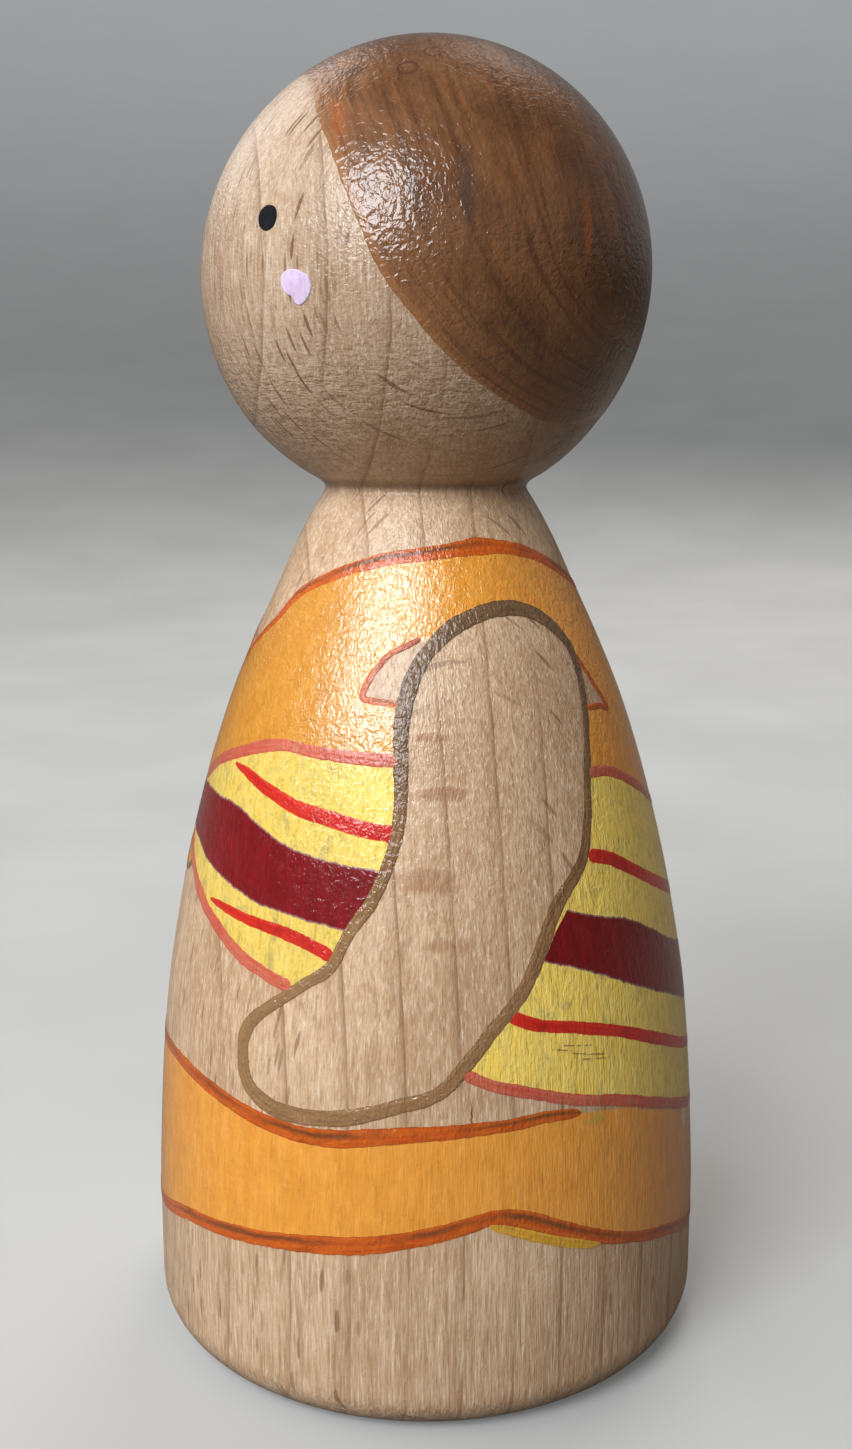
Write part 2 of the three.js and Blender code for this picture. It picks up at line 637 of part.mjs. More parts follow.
// the coat runs all the way round, with a narrow seam at the back
function paintHipBand() {
  const STEPS = 60;
  const END_LONGITUDE = 179.75;
  const rows = [HIP_BOTTOM, [...HIP_TOP, ...HIP_TOP_BACK]].map((half) => {
    const [lastLongitude, lastHeight] = half.at(-1);
    const line = acrossFront([...half.slice(0, -1), [lastLongitude - 0.2, lastHeight]]);
    return Array.from({ length: STEPS + 1 }, (_, i) => {
      const longitude = lerp(-END_LONGITUDE, END_LONGITUDE, i / STEPS);
      return [longitude, heightOn(line, longitude)];
    });
  });
  film("hip_band_paint", refined(rows, 2), COAT, "orange");
}

function paintHipLines() {
  const line = { layer: OUTLINE, look: "orangeLine" };
  stroke("hip_upper_outline", acrossFront(HIP_TOP), {
    ...line, width: 0.85, steps: 44, taper: [0.4, 0.4],
  });
  // the lower line is two strokes that stop short of the middle of the front and back
  const lowerHalf = (endLongitude) => [
    [0.5, HIP_BOTTOM[0][1]],
    ...HIP_BOTTOM.slice(1, -1),
    [endLongitude, HIP_BOTTOM.at(-1)[1]],
  ];
  const lower = { ...line, width: LINE_WIDTH, steps: 36, taper: [0.8, 0.8] };
  stroke("hip_lower_outline_left", lowerHalf(179.5), lower);
  stroke("hip_lower_outline_right", mirrored(lowerHalf(179.2)), lower);
  strokePair("hip_under_streak", UNDER_STREAK, {
    width: 0.7, layer: STRIPE, look: "underYellow", steps: 8, taper: [0.4, 0.4],
  });
}

// ---------------------------------------------------------------- the doll
add("wood_blank", turned(RINGS, 0), "wood");
paintHair();
paintFace();
paintTop();
paintHem();
paintTopOutlines();
paintWrapGround();
paintWrapStripes();
paintWrapOutlines();
paintArms();
paintHipBand();
paintHipLines();

export default root;
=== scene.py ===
"""A turned beech doll, 90 mm tall, painted by hand with thin acrylic coats and brush lines.

The doll stands upright on +Z and faces -Y; its left side is +X. The drawing is in millimetres,
with height measured from the underside. Places on the surface are [longitude, height]:
longitude in degrees, 0 in front, 90 on the doll's left, 180 at the back.
"""
import functools
import math

import bpy
import numpy as np
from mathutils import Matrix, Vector
from mathutils.geometry import delaunay_2d_cdt


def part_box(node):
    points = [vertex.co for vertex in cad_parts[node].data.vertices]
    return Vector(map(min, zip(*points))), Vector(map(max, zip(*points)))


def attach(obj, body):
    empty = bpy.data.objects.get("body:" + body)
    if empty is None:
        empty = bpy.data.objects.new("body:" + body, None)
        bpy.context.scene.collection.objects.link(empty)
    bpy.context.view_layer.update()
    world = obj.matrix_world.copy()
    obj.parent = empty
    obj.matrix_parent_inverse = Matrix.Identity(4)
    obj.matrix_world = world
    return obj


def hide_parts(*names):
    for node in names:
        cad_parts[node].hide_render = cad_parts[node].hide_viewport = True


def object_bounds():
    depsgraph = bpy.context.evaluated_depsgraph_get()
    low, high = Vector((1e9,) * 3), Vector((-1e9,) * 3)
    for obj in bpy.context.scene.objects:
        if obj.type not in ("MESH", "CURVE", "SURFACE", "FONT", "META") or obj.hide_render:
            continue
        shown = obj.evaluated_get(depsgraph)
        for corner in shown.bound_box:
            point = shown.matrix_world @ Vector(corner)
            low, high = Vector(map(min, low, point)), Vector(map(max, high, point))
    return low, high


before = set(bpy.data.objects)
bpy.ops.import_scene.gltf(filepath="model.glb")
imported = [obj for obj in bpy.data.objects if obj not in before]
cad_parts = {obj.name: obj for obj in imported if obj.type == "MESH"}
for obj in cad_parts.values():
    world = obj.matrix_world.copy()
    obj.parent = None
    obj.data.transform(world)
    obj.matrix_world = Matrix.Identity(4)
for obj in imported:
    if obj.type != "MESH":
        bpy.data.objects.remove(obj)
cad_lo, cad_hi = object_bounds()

# ---------------------------------------------------------------- the turned shape
HEIGHT = 90.0
blank_lo, blank_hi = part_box("wood_blank")
MM = (blank_hi.z - blank_lo.z) / HEIGHT      # metres in one unit of the drawing
ORIGIN = np.array([0.0, 0.0, blank_lo.z / MM])

HEAD_RADIUS = 15.23
HEAD_HALF = 15.4                             # half the head's height
HEAD_Z = HEIGHT - HEAD_HALF                  # the head's centre
HEAD_LEAN = 0.02                             # shift towards the back per mm of height
NECK_Z = 60.9
NECK_CONTROL = 6.70                          # control radius of the curve through the neck
FILLET = 0.55                                # half height of that curve
BASE_EDGE = 2.955                            # rounding radius of the bottom edge
FOOT = 16.992                                # radius of the flat underside

# the body's meridian: height, radius
BODY = np.array([
    [BASE_EDGE, FOOT + BASE_EDGE], [9, 19.925], [16, 19.637], [24, 18.995], [32, 17.695],
    [40, 15.777], [46, 13.877], [50, 12.23], [54, 10.379], [57, 9.0], [59.2, 7.827],
    [NECK_Z, 6.763]])
BODY_Z, BODY_R = BODY.T


def body_tangents():
    """Slopes at the body's stations that keep the curve between them monotone."""
    step = np.diff(BODY_Z)
    slope = np.diff(BODY_R) / step
    tangents = np.zeros(len(BODY_Z))
    tangents[-1] = slope[-1]
    for i in range(1, len(BODY_Z) - 1):
        if slope[i - 1] * slope[i] > 0:
            before, after = 2 * step[i] + step[i - 1], step[i] + 2 * step[i - 1]
            tangents[i] = (before + after) / (before / slope[i - 1] + after / slope[i])
    return tangents


BODY_TANGENTS = body_tangents()


def body_radius(z):
    z = np.asarray(z, float)
    i = np.clip(np.searchsorted(BODY_Z, z, side="right") - 1, 0, len(BODY_Z) - 2)
    step = np.diff(BODY_Z)[i]
    t = (np.maximum(z, BODY_Z[0]) - BODY_Z[i]) / step
    side = ((2 * t**3 - 3 * t**2 + 1) * BODY_R[i]
            + (t**3 - 2 * t**2 + t) * step * BODY_TANGENTS[i]
            + (-2 * t**3 + 3 * t**2) * BODY_R[i + 1]
            + (t**3 - t**2) * step * BODY_TANGENTS[i + 1])
    below = BASE_EDGE - np.clip(z, 0, BASE_EDGE)
    rounding = FOOT + np.sqrt(np.clip(BASE_EDGE**2 - below * below, 0, None))
    return np.where(z < BASE_EDGE, rounding, side)


def head_radius(z):
    rise = (np.asarray(z, float) - HEAD_Z) / HEAD_HALF
    return HEAD_RADIUS * np.sqrt(np.clip(1 - rise ** 2, 0, None))


CREASE_LOW = float(body_radius(NECK_Z - FILLET))
CREASE_HIGH = float(head_radius(NECK_Z + FILLET))


def radius_at(z):
    z = np.asarray(z, float)
    t = np.clip((z - NECK_Z + FILLET) / (2 * FILLET), 0, 1)
    crease = (1 - t) ** 2 * CREASE_LOW + 2 * t * (1 - t) * NECK_CONTROL + t * t * CREASE_HIGH
    return np.where(z <= NECK_Z - FILLET, body_radius(np.minimum(z, NECK_Z)),
                    np.where(z >= NECK_Z + FILLET, head_radius(z), crease))


def lean_at(z):
    z = np.asarray(z, float)
    t = np.clip((z - NECK_Z) / 5, 0, 1)
    return HEAD_LEAN * (z - HEAD_Z) * t * t * (3 - 2 * t)


def normal_at(z):
    """Outward normal of the meridian: radial and vertical part."""
    z = np.asarray(z, float)
    lo, hi = np.maximum(0, z - 0.02), np.minimum(HEIGHT - 0.001, z + 0.02)
    dr, dz = radius_at(hi) - radius_at(lo), hi - lo
    length = np.hypot(dr, dz)
    return dz / length, -dr / length


def on_doll(longitude, z, off=0.0):
    """Points at a longitude and height, lifted off the wood along its normal."""
    longitude, z = np.asarray(longitude, float), np.asarray(z, float)
    radial, vertical = normal_at(z)
    angle, r = np.radians(longitude), radius_at(z) + off * radial
    return np.stack([r * np.sin(angle), -r * np.cos(angle) + lean_at(z), z + off * vertical], -1)


# ---------------------------------------------------------------- seeded noise
def hashed(i, seed):
    n = (i.astype(np.int64) * 374761393 + seed * 974634777 + 1013904223) & 0xFFFFFFFF
    n = ((n ^ (n >> 13)) * 1274126177) & 0xFFFFFFFF
    n = ((n ^ (n >> 15)) * 2246822519) & 0xFFFFFFFF
    return ((n ^ (n >> 16)) & 0xFFFFFFFF) / 4294967295.0


def noise(x, seed):
    x = np.asarray(x, float)
    i = np.floor(x)
    f = x - i
    f = f * f * (3 - 2 * f)
    return 2 * ((1 - f) * hashed(i, seed) + f * hashed(i + 1, seed)) - 1


def wobble(x, seed):
    """Three octaves of noise."""
    return (noise(x, seed) + 0.5 * noise(2.13 * x + 7.1, seed + 11)
            + 0.25 * noise(4.37 * x + 3.3, seed + 23)) / 1.75


def waves(turn, table):
    """Sines that close round a full turn; rows are amplitude, count, phase."""
    return sum(size * np.sin(2 * np.pi * count * turn + phase) for size, count, phase in table)


# ---------------------------------------------------------------- curves on the surface
DEGREE = 0.3             # what a degree counts for, against a mm of height, in a curve
MIN_RADIAL = 0.2         # keeps lengths finite where the surface is nearly level


def catmull(points, closed=False):
    """A centripetal Catmull-Rom curve through [longitude, height] points."""
    p = np.array(points, float) * [DEGREE, 1]
    if closed:
        p = np.vstack([p[-1], p, p[0], p[1]])
    else:
        p = np.vstack([2 * p[0] - p[1], p, 2 * p[-1] - p[-2]])
    out = []
    for k in range(1, len(p) - 2):
        q = p[k - 1:k + 3]
        gaps = np.maximum(np.linalg.norm(np.diff(q, axis=0), axis=1), 1e-6) ** 0.5
        t = np.concatenate([[0], np.cumsum(gaps)])
        u = np.linspace(t[1], t[2], 24, endpoint=False)[:, None]

        def blend(start, end, i, j):
            return (t[j] - u) / (t[j] - t[i]) * start + (u - t[i]) / (t[j] - t[i]) * end

        a, b, c = (blend(q[i], q[i + 1], i, i + 1) for i in range(3))
        out.append(blend(blend(a, b, 0, 2), blend(b, c, 1, 3), 1, 2))
    if not closed:
        out.append(p[-2:-1])
    return np.vstack(out) / [DEGREE, 1]


def arc(curve, closed=False):
    """Length along the surface, in mm, at each point of a dense curve."""
    after = np.roll(curve, -1, axis=0) if closed else curve[1:]
    here = curve if closed else curve[:-1]
    mid = (here[:, 1] + after[:, 1]) / 2
    radial = np.maximum(normal_at(mid)[0], MIN_RADIAL)
    steps = np.hypot(np.radians(after[:, 0] - here[:, 0]) * radius_at(mid),
                     (after[:, 1] - here[:, 1]) / radial)
    return np.concatenate([[0], np.cumsum(steps)])


def resampled(curve, step, closed=False):
    """The curve at even steps, the length at each point, and the whole length."""
    lengths = arc(curve, closed)
    if closed:
        curve = np.vstack([curve, curve[:1]])
    count = max(2, int(round(lengths[-1] / step)))
    t = np.linspace(0, lengths[-1], count + 1)
    if closed:
        t = t[:-1]
    points = np.stack([np.interp(t, lengths, curve[:, k]) for k in (0, 1)], -1)
    return points, t, lengths[-1]


def sideways(curve, closed=False):
    """Unit normal of the curve in the surface, the radius and the radial part of the slope."""
    if closed:
        d = np.roll(curve, -1, axis=0) - np.roll(curve, 1, axis=0)
    else:
        d = np.gradient(curve, axis=0)
    r, radial = radius_at(curve[:, 1]), np.maximum(normal_at(curve[:, 1])[0], MIN_RADIAL)
    tx, ty = np.radians(d[:, 0]) * r, d[:, 1] / radial
    length = np.maximum(np.hypot(tx, ty), 1e-9)
    return -ty / length, tx / length, r, radial


def shifted(curve, off, closed=False):
    """The curve moved by off mm to the left of its run, as seen from outside."""
    nx, ny, r, radial = sideways(curve, closed)
    return np.stack([curve[:, 0] + np.degrees(nx * off / r), curve[:, 1] + ny * off * radial], -1)


def edge(points, seed, slow, fine, teeth):
    """A painted edge: a smooth curve with a hand's wobble and teeth, all in mm."""
    curve, s, total = resampled(catmull(points), 0.16)
    fade = np.clip(np.minimum(s, total - s) / 0.6, 0, 1)
    curve = shifted(curve, fade * (slow * wobble(s / 2.6, seed)
                                   + fine * wobble(s / 0.55, seed + 5)))
    if teeth:
        x = np.radians(curve[:, 0]) * radius_at(curve[:, 1])
        grain = noise(x / 0.22, seed + 9) + 0.6 * noise(x / 0.5, seed + 10)
        curve[:, 1] += fade * teeth * grain
    return curve


def flip(points):
    return [list(p) for p in points][::-1]


def mirrored(points):
    """The doll's right side: the drawing mirrored, with the small differences of a free hand."""
    out = []
    for longitude, z in points:
        w = math.sin(math.pi * min(max(longitude / 180, 0), 1)) ** 0.5
        out.append([-(longitude + 0.7 * math.sin(z * 0.31) * w),
                    z + 0.18 * math.sin(longitude * 0.045) * w])
    return out[::-1]


def far_side(points):
    """The mirrored drawing at longitudes that run on past 180."""
    return [[longitude + 360, z] for longitude, z in mirrored(points)]


def across_front(half):
    return mirrored(half)[:-1] + [[0, half[0][1]]] + list(half[1:])


def across_back(half):
    return list(half[:-1]) + [[180, half[-1][1]]] + far_side(half)[1:]


def cut_line(points, start, end):
    """The piece of a line between two longitudes, with its ends on the line."""
    p = np.array(points, float)
    z0, z1 = (float(np.interp(at, p[:, 0], p[:, 1])) for at in (start, end))
    middle = [list(q) for q in p if start + 0.3 < q[0] < end - 0.3]
    return [[start, z0]] + middle + [[end, z1]]


SIDES = {"left": list, "right": mirrored}    # how a left half drawing is used on each side


# ---------------------------------------------------------------- shader helper
class Shader:
    """Builds nodes in a tree; values are sockets or constants."""

    def __init__(self, tree):
        self.tree = tree

    def add(self, kind, inputs=None, **settings):
        node = self.tree.nodes.new(kind)
        for key, value in settings.items():
            setattr(node, key, value)
        for key, value in (inputs or {}).items():
            self.put(node, key, value)
        return node

    def put(self, node, key, value):
        socket = node.inputs[key]
        if isinstance(value, bpy.types.NodeSocket):
            self.tree.links.new(value, socket)
        elif isinstance(value, tuple) and socket.type == "RGBA" and len(value) == 3:
            socket.default_value = (*value, 1.0)
        else:
            socket.default_value = value

    def math(self, operation, *values):
        return self.add("ShaderNodeMath", dict(enumerate(values)), operation=operation).outputs[0]

    def times(self, *values):
        return functools.reduce(lambda a, b: self.math("MULTIPLY", a, b), values)

    def plus(self, a, b):
        return self.math("ADD", a, b)

    def minus(self, a, b):
        return self.math("SUBTRACT", a, b)

    def madd(self, value, amount, base):
        """base + value * amount"""
        return self.math("MULTIPLY_ADD", value, amount, base)

    def centred(self, value, amount):
        """A 0-1 noise as a swing of the given size about zero."""
        return self.times(self.minus(value, 0.5), amount)

    def swing(self, value, amount, base):
        """base, swung either way by a 0-1 noise."""
        return self.madd(self.minus(value, 0.5), amount, base)

    def ramp(self, value, start, end, low=0.0, high=1.0, kind="SMOOTHSTEP"):
        """From low to high as the value goes from start to end."""
        return self.add("ShaderNodeMapRange", {
            "Value": value, "From Min": start, "From Max": end, "To Min": low, "To Max": high,
        }, interpolation_type=kind, clamp=True).outputs[0]

    def fall(self, value, start, end, kind="SMOOTHSTEP"):
        """From 1 at start to 0 at end."""
        return self.ramp(value, start, end, low=1.0, high=0.0, kind=kind)

    def mix(self, factor, a, b, blend="MIX"):
        return self.add("ShaderNodeMix", {0: factor, 6: a, 7: b},
                        data_type="RGBA", blend_type=blend).outputs[2]

    def tinted(self, colour, tint):
        return self.mix(1.0, colour, tint, "MULTIPLY")

    def layers(self, colour, rows):
        """Tones laid over a colour; rows are value, where it starts, where it is full,
        strength, tone."""
        for value, start, full, strength, tone in rows:
            colour = self.mix(self.ramp(value, start, full, high=strength), colour, tone)
        return colour

    def scaled(self, vector, by):
        return self.add("ShaderNodeVectorMath", {0: vector, 1: by},
                        operation="MULTIPLY").outputs[0]

    def moved(self, vector, by):
        return self.add("ShaderNodeVectorMath", {0: vector, 1: by}, operation="ADD").outputs[0]

    def distance(self, p, centre, size):
        """Distance from a centre, 1 on the ellipsoid with half axes size."""
        d = self.scaled(self.moved(p, tuple(-c for c in centre)), tuple(1.0 / s for s in size))
        return self.add("ShaderNodeVectorMath", {0: d}, operation="LENGTH").outputs[1]

    def noise(self, vector, stretch=None, shift=None, scale=1.0, detail=3.0, rough=0.6, warp=0.0):
        if shift is not None:
            vector = self.moved(vector, shift)
        if stretch is not None:
            vector = self.scaled(vector, stretch)
        return self.add("ShaderNodeTexNoise", {
            "Vector": vector, "Scale": scale, "Detail": detail, "Roughness": rough,
            "Distortion": warp}).outputs[0]

    def millimetres(self):
        return self.scaled(self.add("ShaderNodeTexCoord").outputs["Object"],
                           (1000.0, 1000.0, 1000.0))

    def stroke_map(self):
        """Along and across the brush."""
        return self.add("ShaderNodeUVMap", uv_map="Stroke").outputs[0]

    def rim(self):
        return self.add("ShaderNodeAttribute", attribute_name="rim").outputs["Fac"]

    def split(self, vector):
        return list(self.add("ShaderNodeSeparateXYZ", {0: vector}).outputs)

    def join(self, x, y, z):
        return self.add("ShaderNodeCombineXYZ", {0: x, 1: y, 2: z}).outputs[0]


# ---------------------------------------------------------------- beech, shared by all materials
PITH_X, PITH_Y = 6.0, 85.0       # the tree's pith, far behind the doll
RING_START, RING_PITCH = 97.5, 3.42


def beech_group():
    group = bpy.data.node_groups.new("beech_grain", "ShaderNodeTree")
    for label, kind in (("Color", "NodeSocketColor"), ("Fibre", "NodeSocketFloat"),
                        ("Height", "NodeSocketFloat"), ("Rough", "NodeSocketFloat"),
                        ("Peel", "NodeSocketFloat")):
        group.interface.new_socket(label, in_out="OUTPUT", socket_type=kind)
    t = Shader(group)
    out = t.add("NodeGroupOutput")
    p = t.millimetres()
    x, y, z = t.split(p)

    # growth rings: leaning, uneven cylinders round the pith
    dx, dy = t.minus(x, PITH_X), t.minus(y, PITH_Y)
    depth = t.madd(z, 0.010, t.math("SQRT", t.plus(t.times(dx, dx), t.times(dy, dy))))
    bend = t.noise(p, stretch=(0.05, 0.05, 0.018), detail=2.0, rough=0.5)
    depth = t.swing(bend, 1.0, depth)
    depth = t.swing(t.noise(p, stretch=(0.6, 0.6, 0.10), detail=2.0), 0.22, depth)
    count = t.math("DIVIDE", t.minus(depth, RING_START), RING_PITCH)
    ring = t.math("FRACT", count)
    strength = t.noise(t.join(t.math("FLOOR", count), 0.0, t.times(z, 0.05)),
                       scale=1.7, detail=2.0)
    # the rings fade at the front, above all over the upper body and head
    strength = t.times(t.ramp(strength, 0.30, 0.62), t.ramp(y, -18.2, -13.6, low=0.12),
                       t.math("MAXIMUM", t.ramp(y, -14.6, -13.2), t.ramp(z, 58.0, 56.0)))
    line = t.times(t.fall(ring, 0.0, 0.10), t.ramp(ring, 0.0, 0.012))
    late = t.fall(ring, 0.0, 0.42, kind="LINEAR")
    late = t.times(late, late)

    # fibres run up the blank
    fibre = t.noise(p, stretch=(3.0, 3.0, 0.22), detail=4.0, rough=0.64, warp=0.10)
    fine = t.noise(p, stretch=(8.0, 8.0, 0.60), detail=2.0, rough=0.55, warp=0.08)
    bands = t.noise(p, stretch=(0.75, 0.75, 0.05), shift=(31.0, 7.0, 0.0), warp=0.2)
    short = t.noise(p, stretch=(4.5, 4.5, 0.75), shift=(3.0, 17.0, 5.0), detail=2.0, warp=0.2)

    # ray flecks: thin across, tall, and long towards the pith
    cells = t.add("ShaderNodeTexVoronoi", {
        "Vector": t.moved(t.scaled(p, (3.4, 0.13, 0.34)), (0.3, 0.1, 0.7)),
        "Scale": 1.0, "Randomness": 1.0}, feature="F1", voronoi_dimensions="3D")
    pick = t.split(cells.outputs["Color"])
    facing = t.add("ShaderNodeTexCoord").outputs["Normal"]
    fleck = t.times(
        t.fall(cells.outputs["Distance"], 0.22, 0.33),
        t.math("GREATER_THAN", pick[0], t.ramp(z, 58.0, 62.0, low=0.56, high=0.40)),
        t.ramp(pick[1], 0.0, 1.0, low=0.35, kind="LINEAR"),
        t.ramp(t.math("ABSOLUTE", t.split(facing)[0]), 0.86, 0.975, low=1.0, high=0.10))

    broad = t.noise(p, stretch=(0.11, 0.11, 0.05), rough=0.55)
    cloud = t.noise(p, stretch=(0.35, 0.35, 0.22), shift=(9.0, 40.0, 3.0))
    pale, mid, deep = (0.640, 0.438, 0.276), (0.535, 0.344, 0.204), (0.355, 0.198, 0.100)
    col = t.layers(mid, [
        (broad, 0.34, 0.66, 1.0, pale),
        (cloud, 0.50, 0.72, 0.36, (0.49, 0.290, 0.160)),
        (bands, 0.44, 0.68, 0.45, (0.44, 0.260, 0.142)),
        (fibre, 0.47, 0.66, 0.50, deep),
        (fibre, 0.46, 0.30, 0.45, (0.78, 0.60, 0.43)),
        (fine, 0.55, 0.68, 0.46, (0.86, 0.70, 0.53)),
        (fine, 0.45, 0.33, 0.48, deep),
        (short, 0.62, 0.74, 0.25, deep)])
    col = t.mix(t.times(late, strength, 0.52), col, (0.37, 0.205, 0.105))
    col = t.mix(t.times(line, strength, 0.58), col, (0.19, 0.090, 0.042))
    # painted shade low on the head, where it curves under, and a cooler tone over all of it,
    # painted for the cool glare of the varnish in the window light
    col = t.mix(t.times(t.ramp(z, 72.0, 62.0), t.ramp(z, 60.5, 62.0)), col,
                t.tinted(col, (0.86, 0.84, 0.80)))
    # painted cool glare: the head's wood tinted cooler
    col = t.mix(t.ramp(z, 59.0, 66.0), col, t.tinted(col, (0.85, 0.885, 0.96)))
    col = t.mix(t.times(fleck, t.ramp(z, 58.0, 62.0, low=0.70, high=0.95)), col,
                (0.16, 0.074, 0.034))

    # relief in mm
    relief = t.centred(fibre, 0.060)
    relief = t.swing(fine, 0.050, relief)
    relief = t.madd(t.times(line, strength), -0.010, relief)
    relief = t.madd(fleck, -0.008, relief)
    t.put(out, "Color", col)
    t.put(out, "Fibre", fibre)
    t.put(out, "Height", relief)
    t.put(out, "Rough", t.ramp(fine, 0.3, 0.7, low=0.34, high=0.50, kind="LINEAR"))
    t.put(out, "Peel", t.noise(p, scale=2.35, detail=1.5, rough=0.5, warp=0.7))
    return group


BEECH = beech_group()


def new_material(name):
    material = bpy.data.materials.new(name)
    material.use_nodes = True
    material.node_tree.nodes.clear()
    return material, Shader(material.node_tree)


def surface(t, colour, rough, relief, coat, coat_rough=0.12, coat_ior=1.5):
    """The closing nodes: a lacquered surface with relief in mm."""
    bump = t.add("ShaderNodeBump", {"Strength": 1.0, "Distance": 0.001, "Height": relief})
    shader = t.add("ShaderNodeBsdfPrincipled", {
        "Base Color": colour, "Roughness": rough, "Normal": bump.outputs[0],
        "Specular IOR Level": 0.22, "Coat Weight": coat, "Coat Roughness": coat_rough,
        "Coat IOR": coat_ior, "Coat Normal": bump.outputs[0]})
    t.add("ShaderNodeOutputMaterial", {"Surface": shader.outputs[0]})
    return shader


# brown smudges across the grain on the doll's left: x, y, z, half width, half height, strength
SMUDGES = [
    (13.85, -2.0, 45.6, 1.1, 0.30, 0.55),
    (15.0, -1.5, 42.2, 1.6, 0.45, 0.55),
    (16.2, -2.6, 36.9, 2.2, 0.85, 0.46),
    (16.6, -1.6, 33.0, 1.8, 0.5, 0.34)]
SMUDGE_DEPTH = 3.0


def wood_material():
    material, t = new_material("varnished_beech")
    wood = t.add("ShaderNodeGroup", node_tree=BEECH).outputs
    p = t.millimetres()
    x, y, z = t.split(p)
    # tool marks: faint rings round the turned surface, and on the underside
    radial = t.math("SQRT", t.plus(t.times(x, x), t.times(y, y)))
    turn = t.noise(t.join(0.0, 0.0, z), scale=2.3)
    under = t.noise(t.join(radial, 0.0, 0.0), scale=1.6)
    is_under = t.fall(z, 0.02, 0.10)
    col = t.mix(t.times(is_under, 0.35), wood["Color"], (0.42, 0.28, 0.18))
    col = t.mix(t.times(is_under, t.ramp(under, 0.5, 0.7, high=0.4)), col, (0.24, 0.14, 0.08))
    # painted shade in the crease of the neck, and darker in patches along the bottom edge
    crease = t.fall(t.math("ABSOLUTE", t.minus(z, 61.0)), 0.0, 0.5)
    col = t.mix(t.times(crease, 0.55), col, (0.15, 0.075, 0.04))
    patch_noise = t.noise(p, scale=0.5)
    foot = t.times(t.fall(z, 0.4, 3.6), t.ramp(patch_noise, 0.35, 0.65))
    col = t.mix(t.times(foot, 0.25), col, (0.25, 0.16, 0.10))
    # the head is sanded finer: small pebbles instead of open grain
    head = t.ramp(z, 60.0, 66.0)
    pebble = t.noise(p, scale=3.6, detail=2.0, warp=0.3)
    relief = t.times(wood["Height"], t.ramp(head, 0.0, 1.0, low=1.0, high=0.45, kind="LINEAR"))
    relief = t.swing(pebble, t.times(head, 0.075), relief)
    # level folds low on the head
    folds = t.noise(p, stretch=(0.8, 0.8, 3.0), warp=0.3)
    low = t.times(t.ramp(z, 72.0, 67.0), t.ramp(z, 61.0, 62.5))
    relief = t.swing(folds, t.times(low, 0.14), relief)
    col = t.mix(t.times(low, t.ramp(folds, 0.54, 0.66, high=0.30)), col, (0.20, 0.105, 0.055))
    # painted shade low on the head, on the left towards the back
    low_head_shade = t.times(t.ramp(y, 2.5, 8.5), t.times(t.ramp(z, 60.0, 61.5), t.ramp(z, 71.0, 68.0)))
    col = t.mix(t.times(low_head_shade, t.math("GREATER_THAN", x, 0.0)), col,
                t.tinted(col, (0.62, 0.55, 0.47)))
    relief = t.swing(wood["Peel"], 0.040, relief)
    # a short upright check in the wood under the left arm
    sway = t.centred(t.noise(t.join(0.0, 0.0, z), scale=1.3, detail=2.0), 0.55)
    middle = t.madd(t.minus(z, 21.5), -0.10, t.plus(sway, -0.35))
    off = t.math("ABSOLUTE", t.minus(y, middle))
    extent = t.times(t.ramp(z, 19.0, 20.0), t.ramp(z, 23.4, 22.6),
                     t.math("GREATER_THAN", x, 0.0))
    check = t.times(t.fall(off, 0.025, 0.075), extent)
    col = t.mix(t.times(check, 0.75), col, (0.09, 0.045, 0.022))
    relief = t.madd(check, -0.02, relief)

    def squared(value, centre, size):
        part = t.math("DIVIDE", t.minus(value, centre), size)
        return t.math("POWER", t.math("ABSOLUTE", part), 2.0)

    for cx, cy, cz, half_width, half_height, strength in SMUDGES:
        d = t.plus(squared(y, cy, half_width), squared(z, cz, half_height))
        d = t.swing(patch_noise, 2.6, t.plus(d, squared(x, cx, SMUDGE_DEPTH)))
        col = t.mix(t.times(t.fall(d, 0.2, 1.5), strength), col, (0.285, 0.118, 0.050))
    relief = t.swing(turn, 0.010, relief)
    relief = t.madd(t.times(is_under, t.minus(under, 0.5)), 0.05, relief)
    surface(t, col, wood["Rough"], relief, coat=0.62, coat_rough=0.14)
    return material


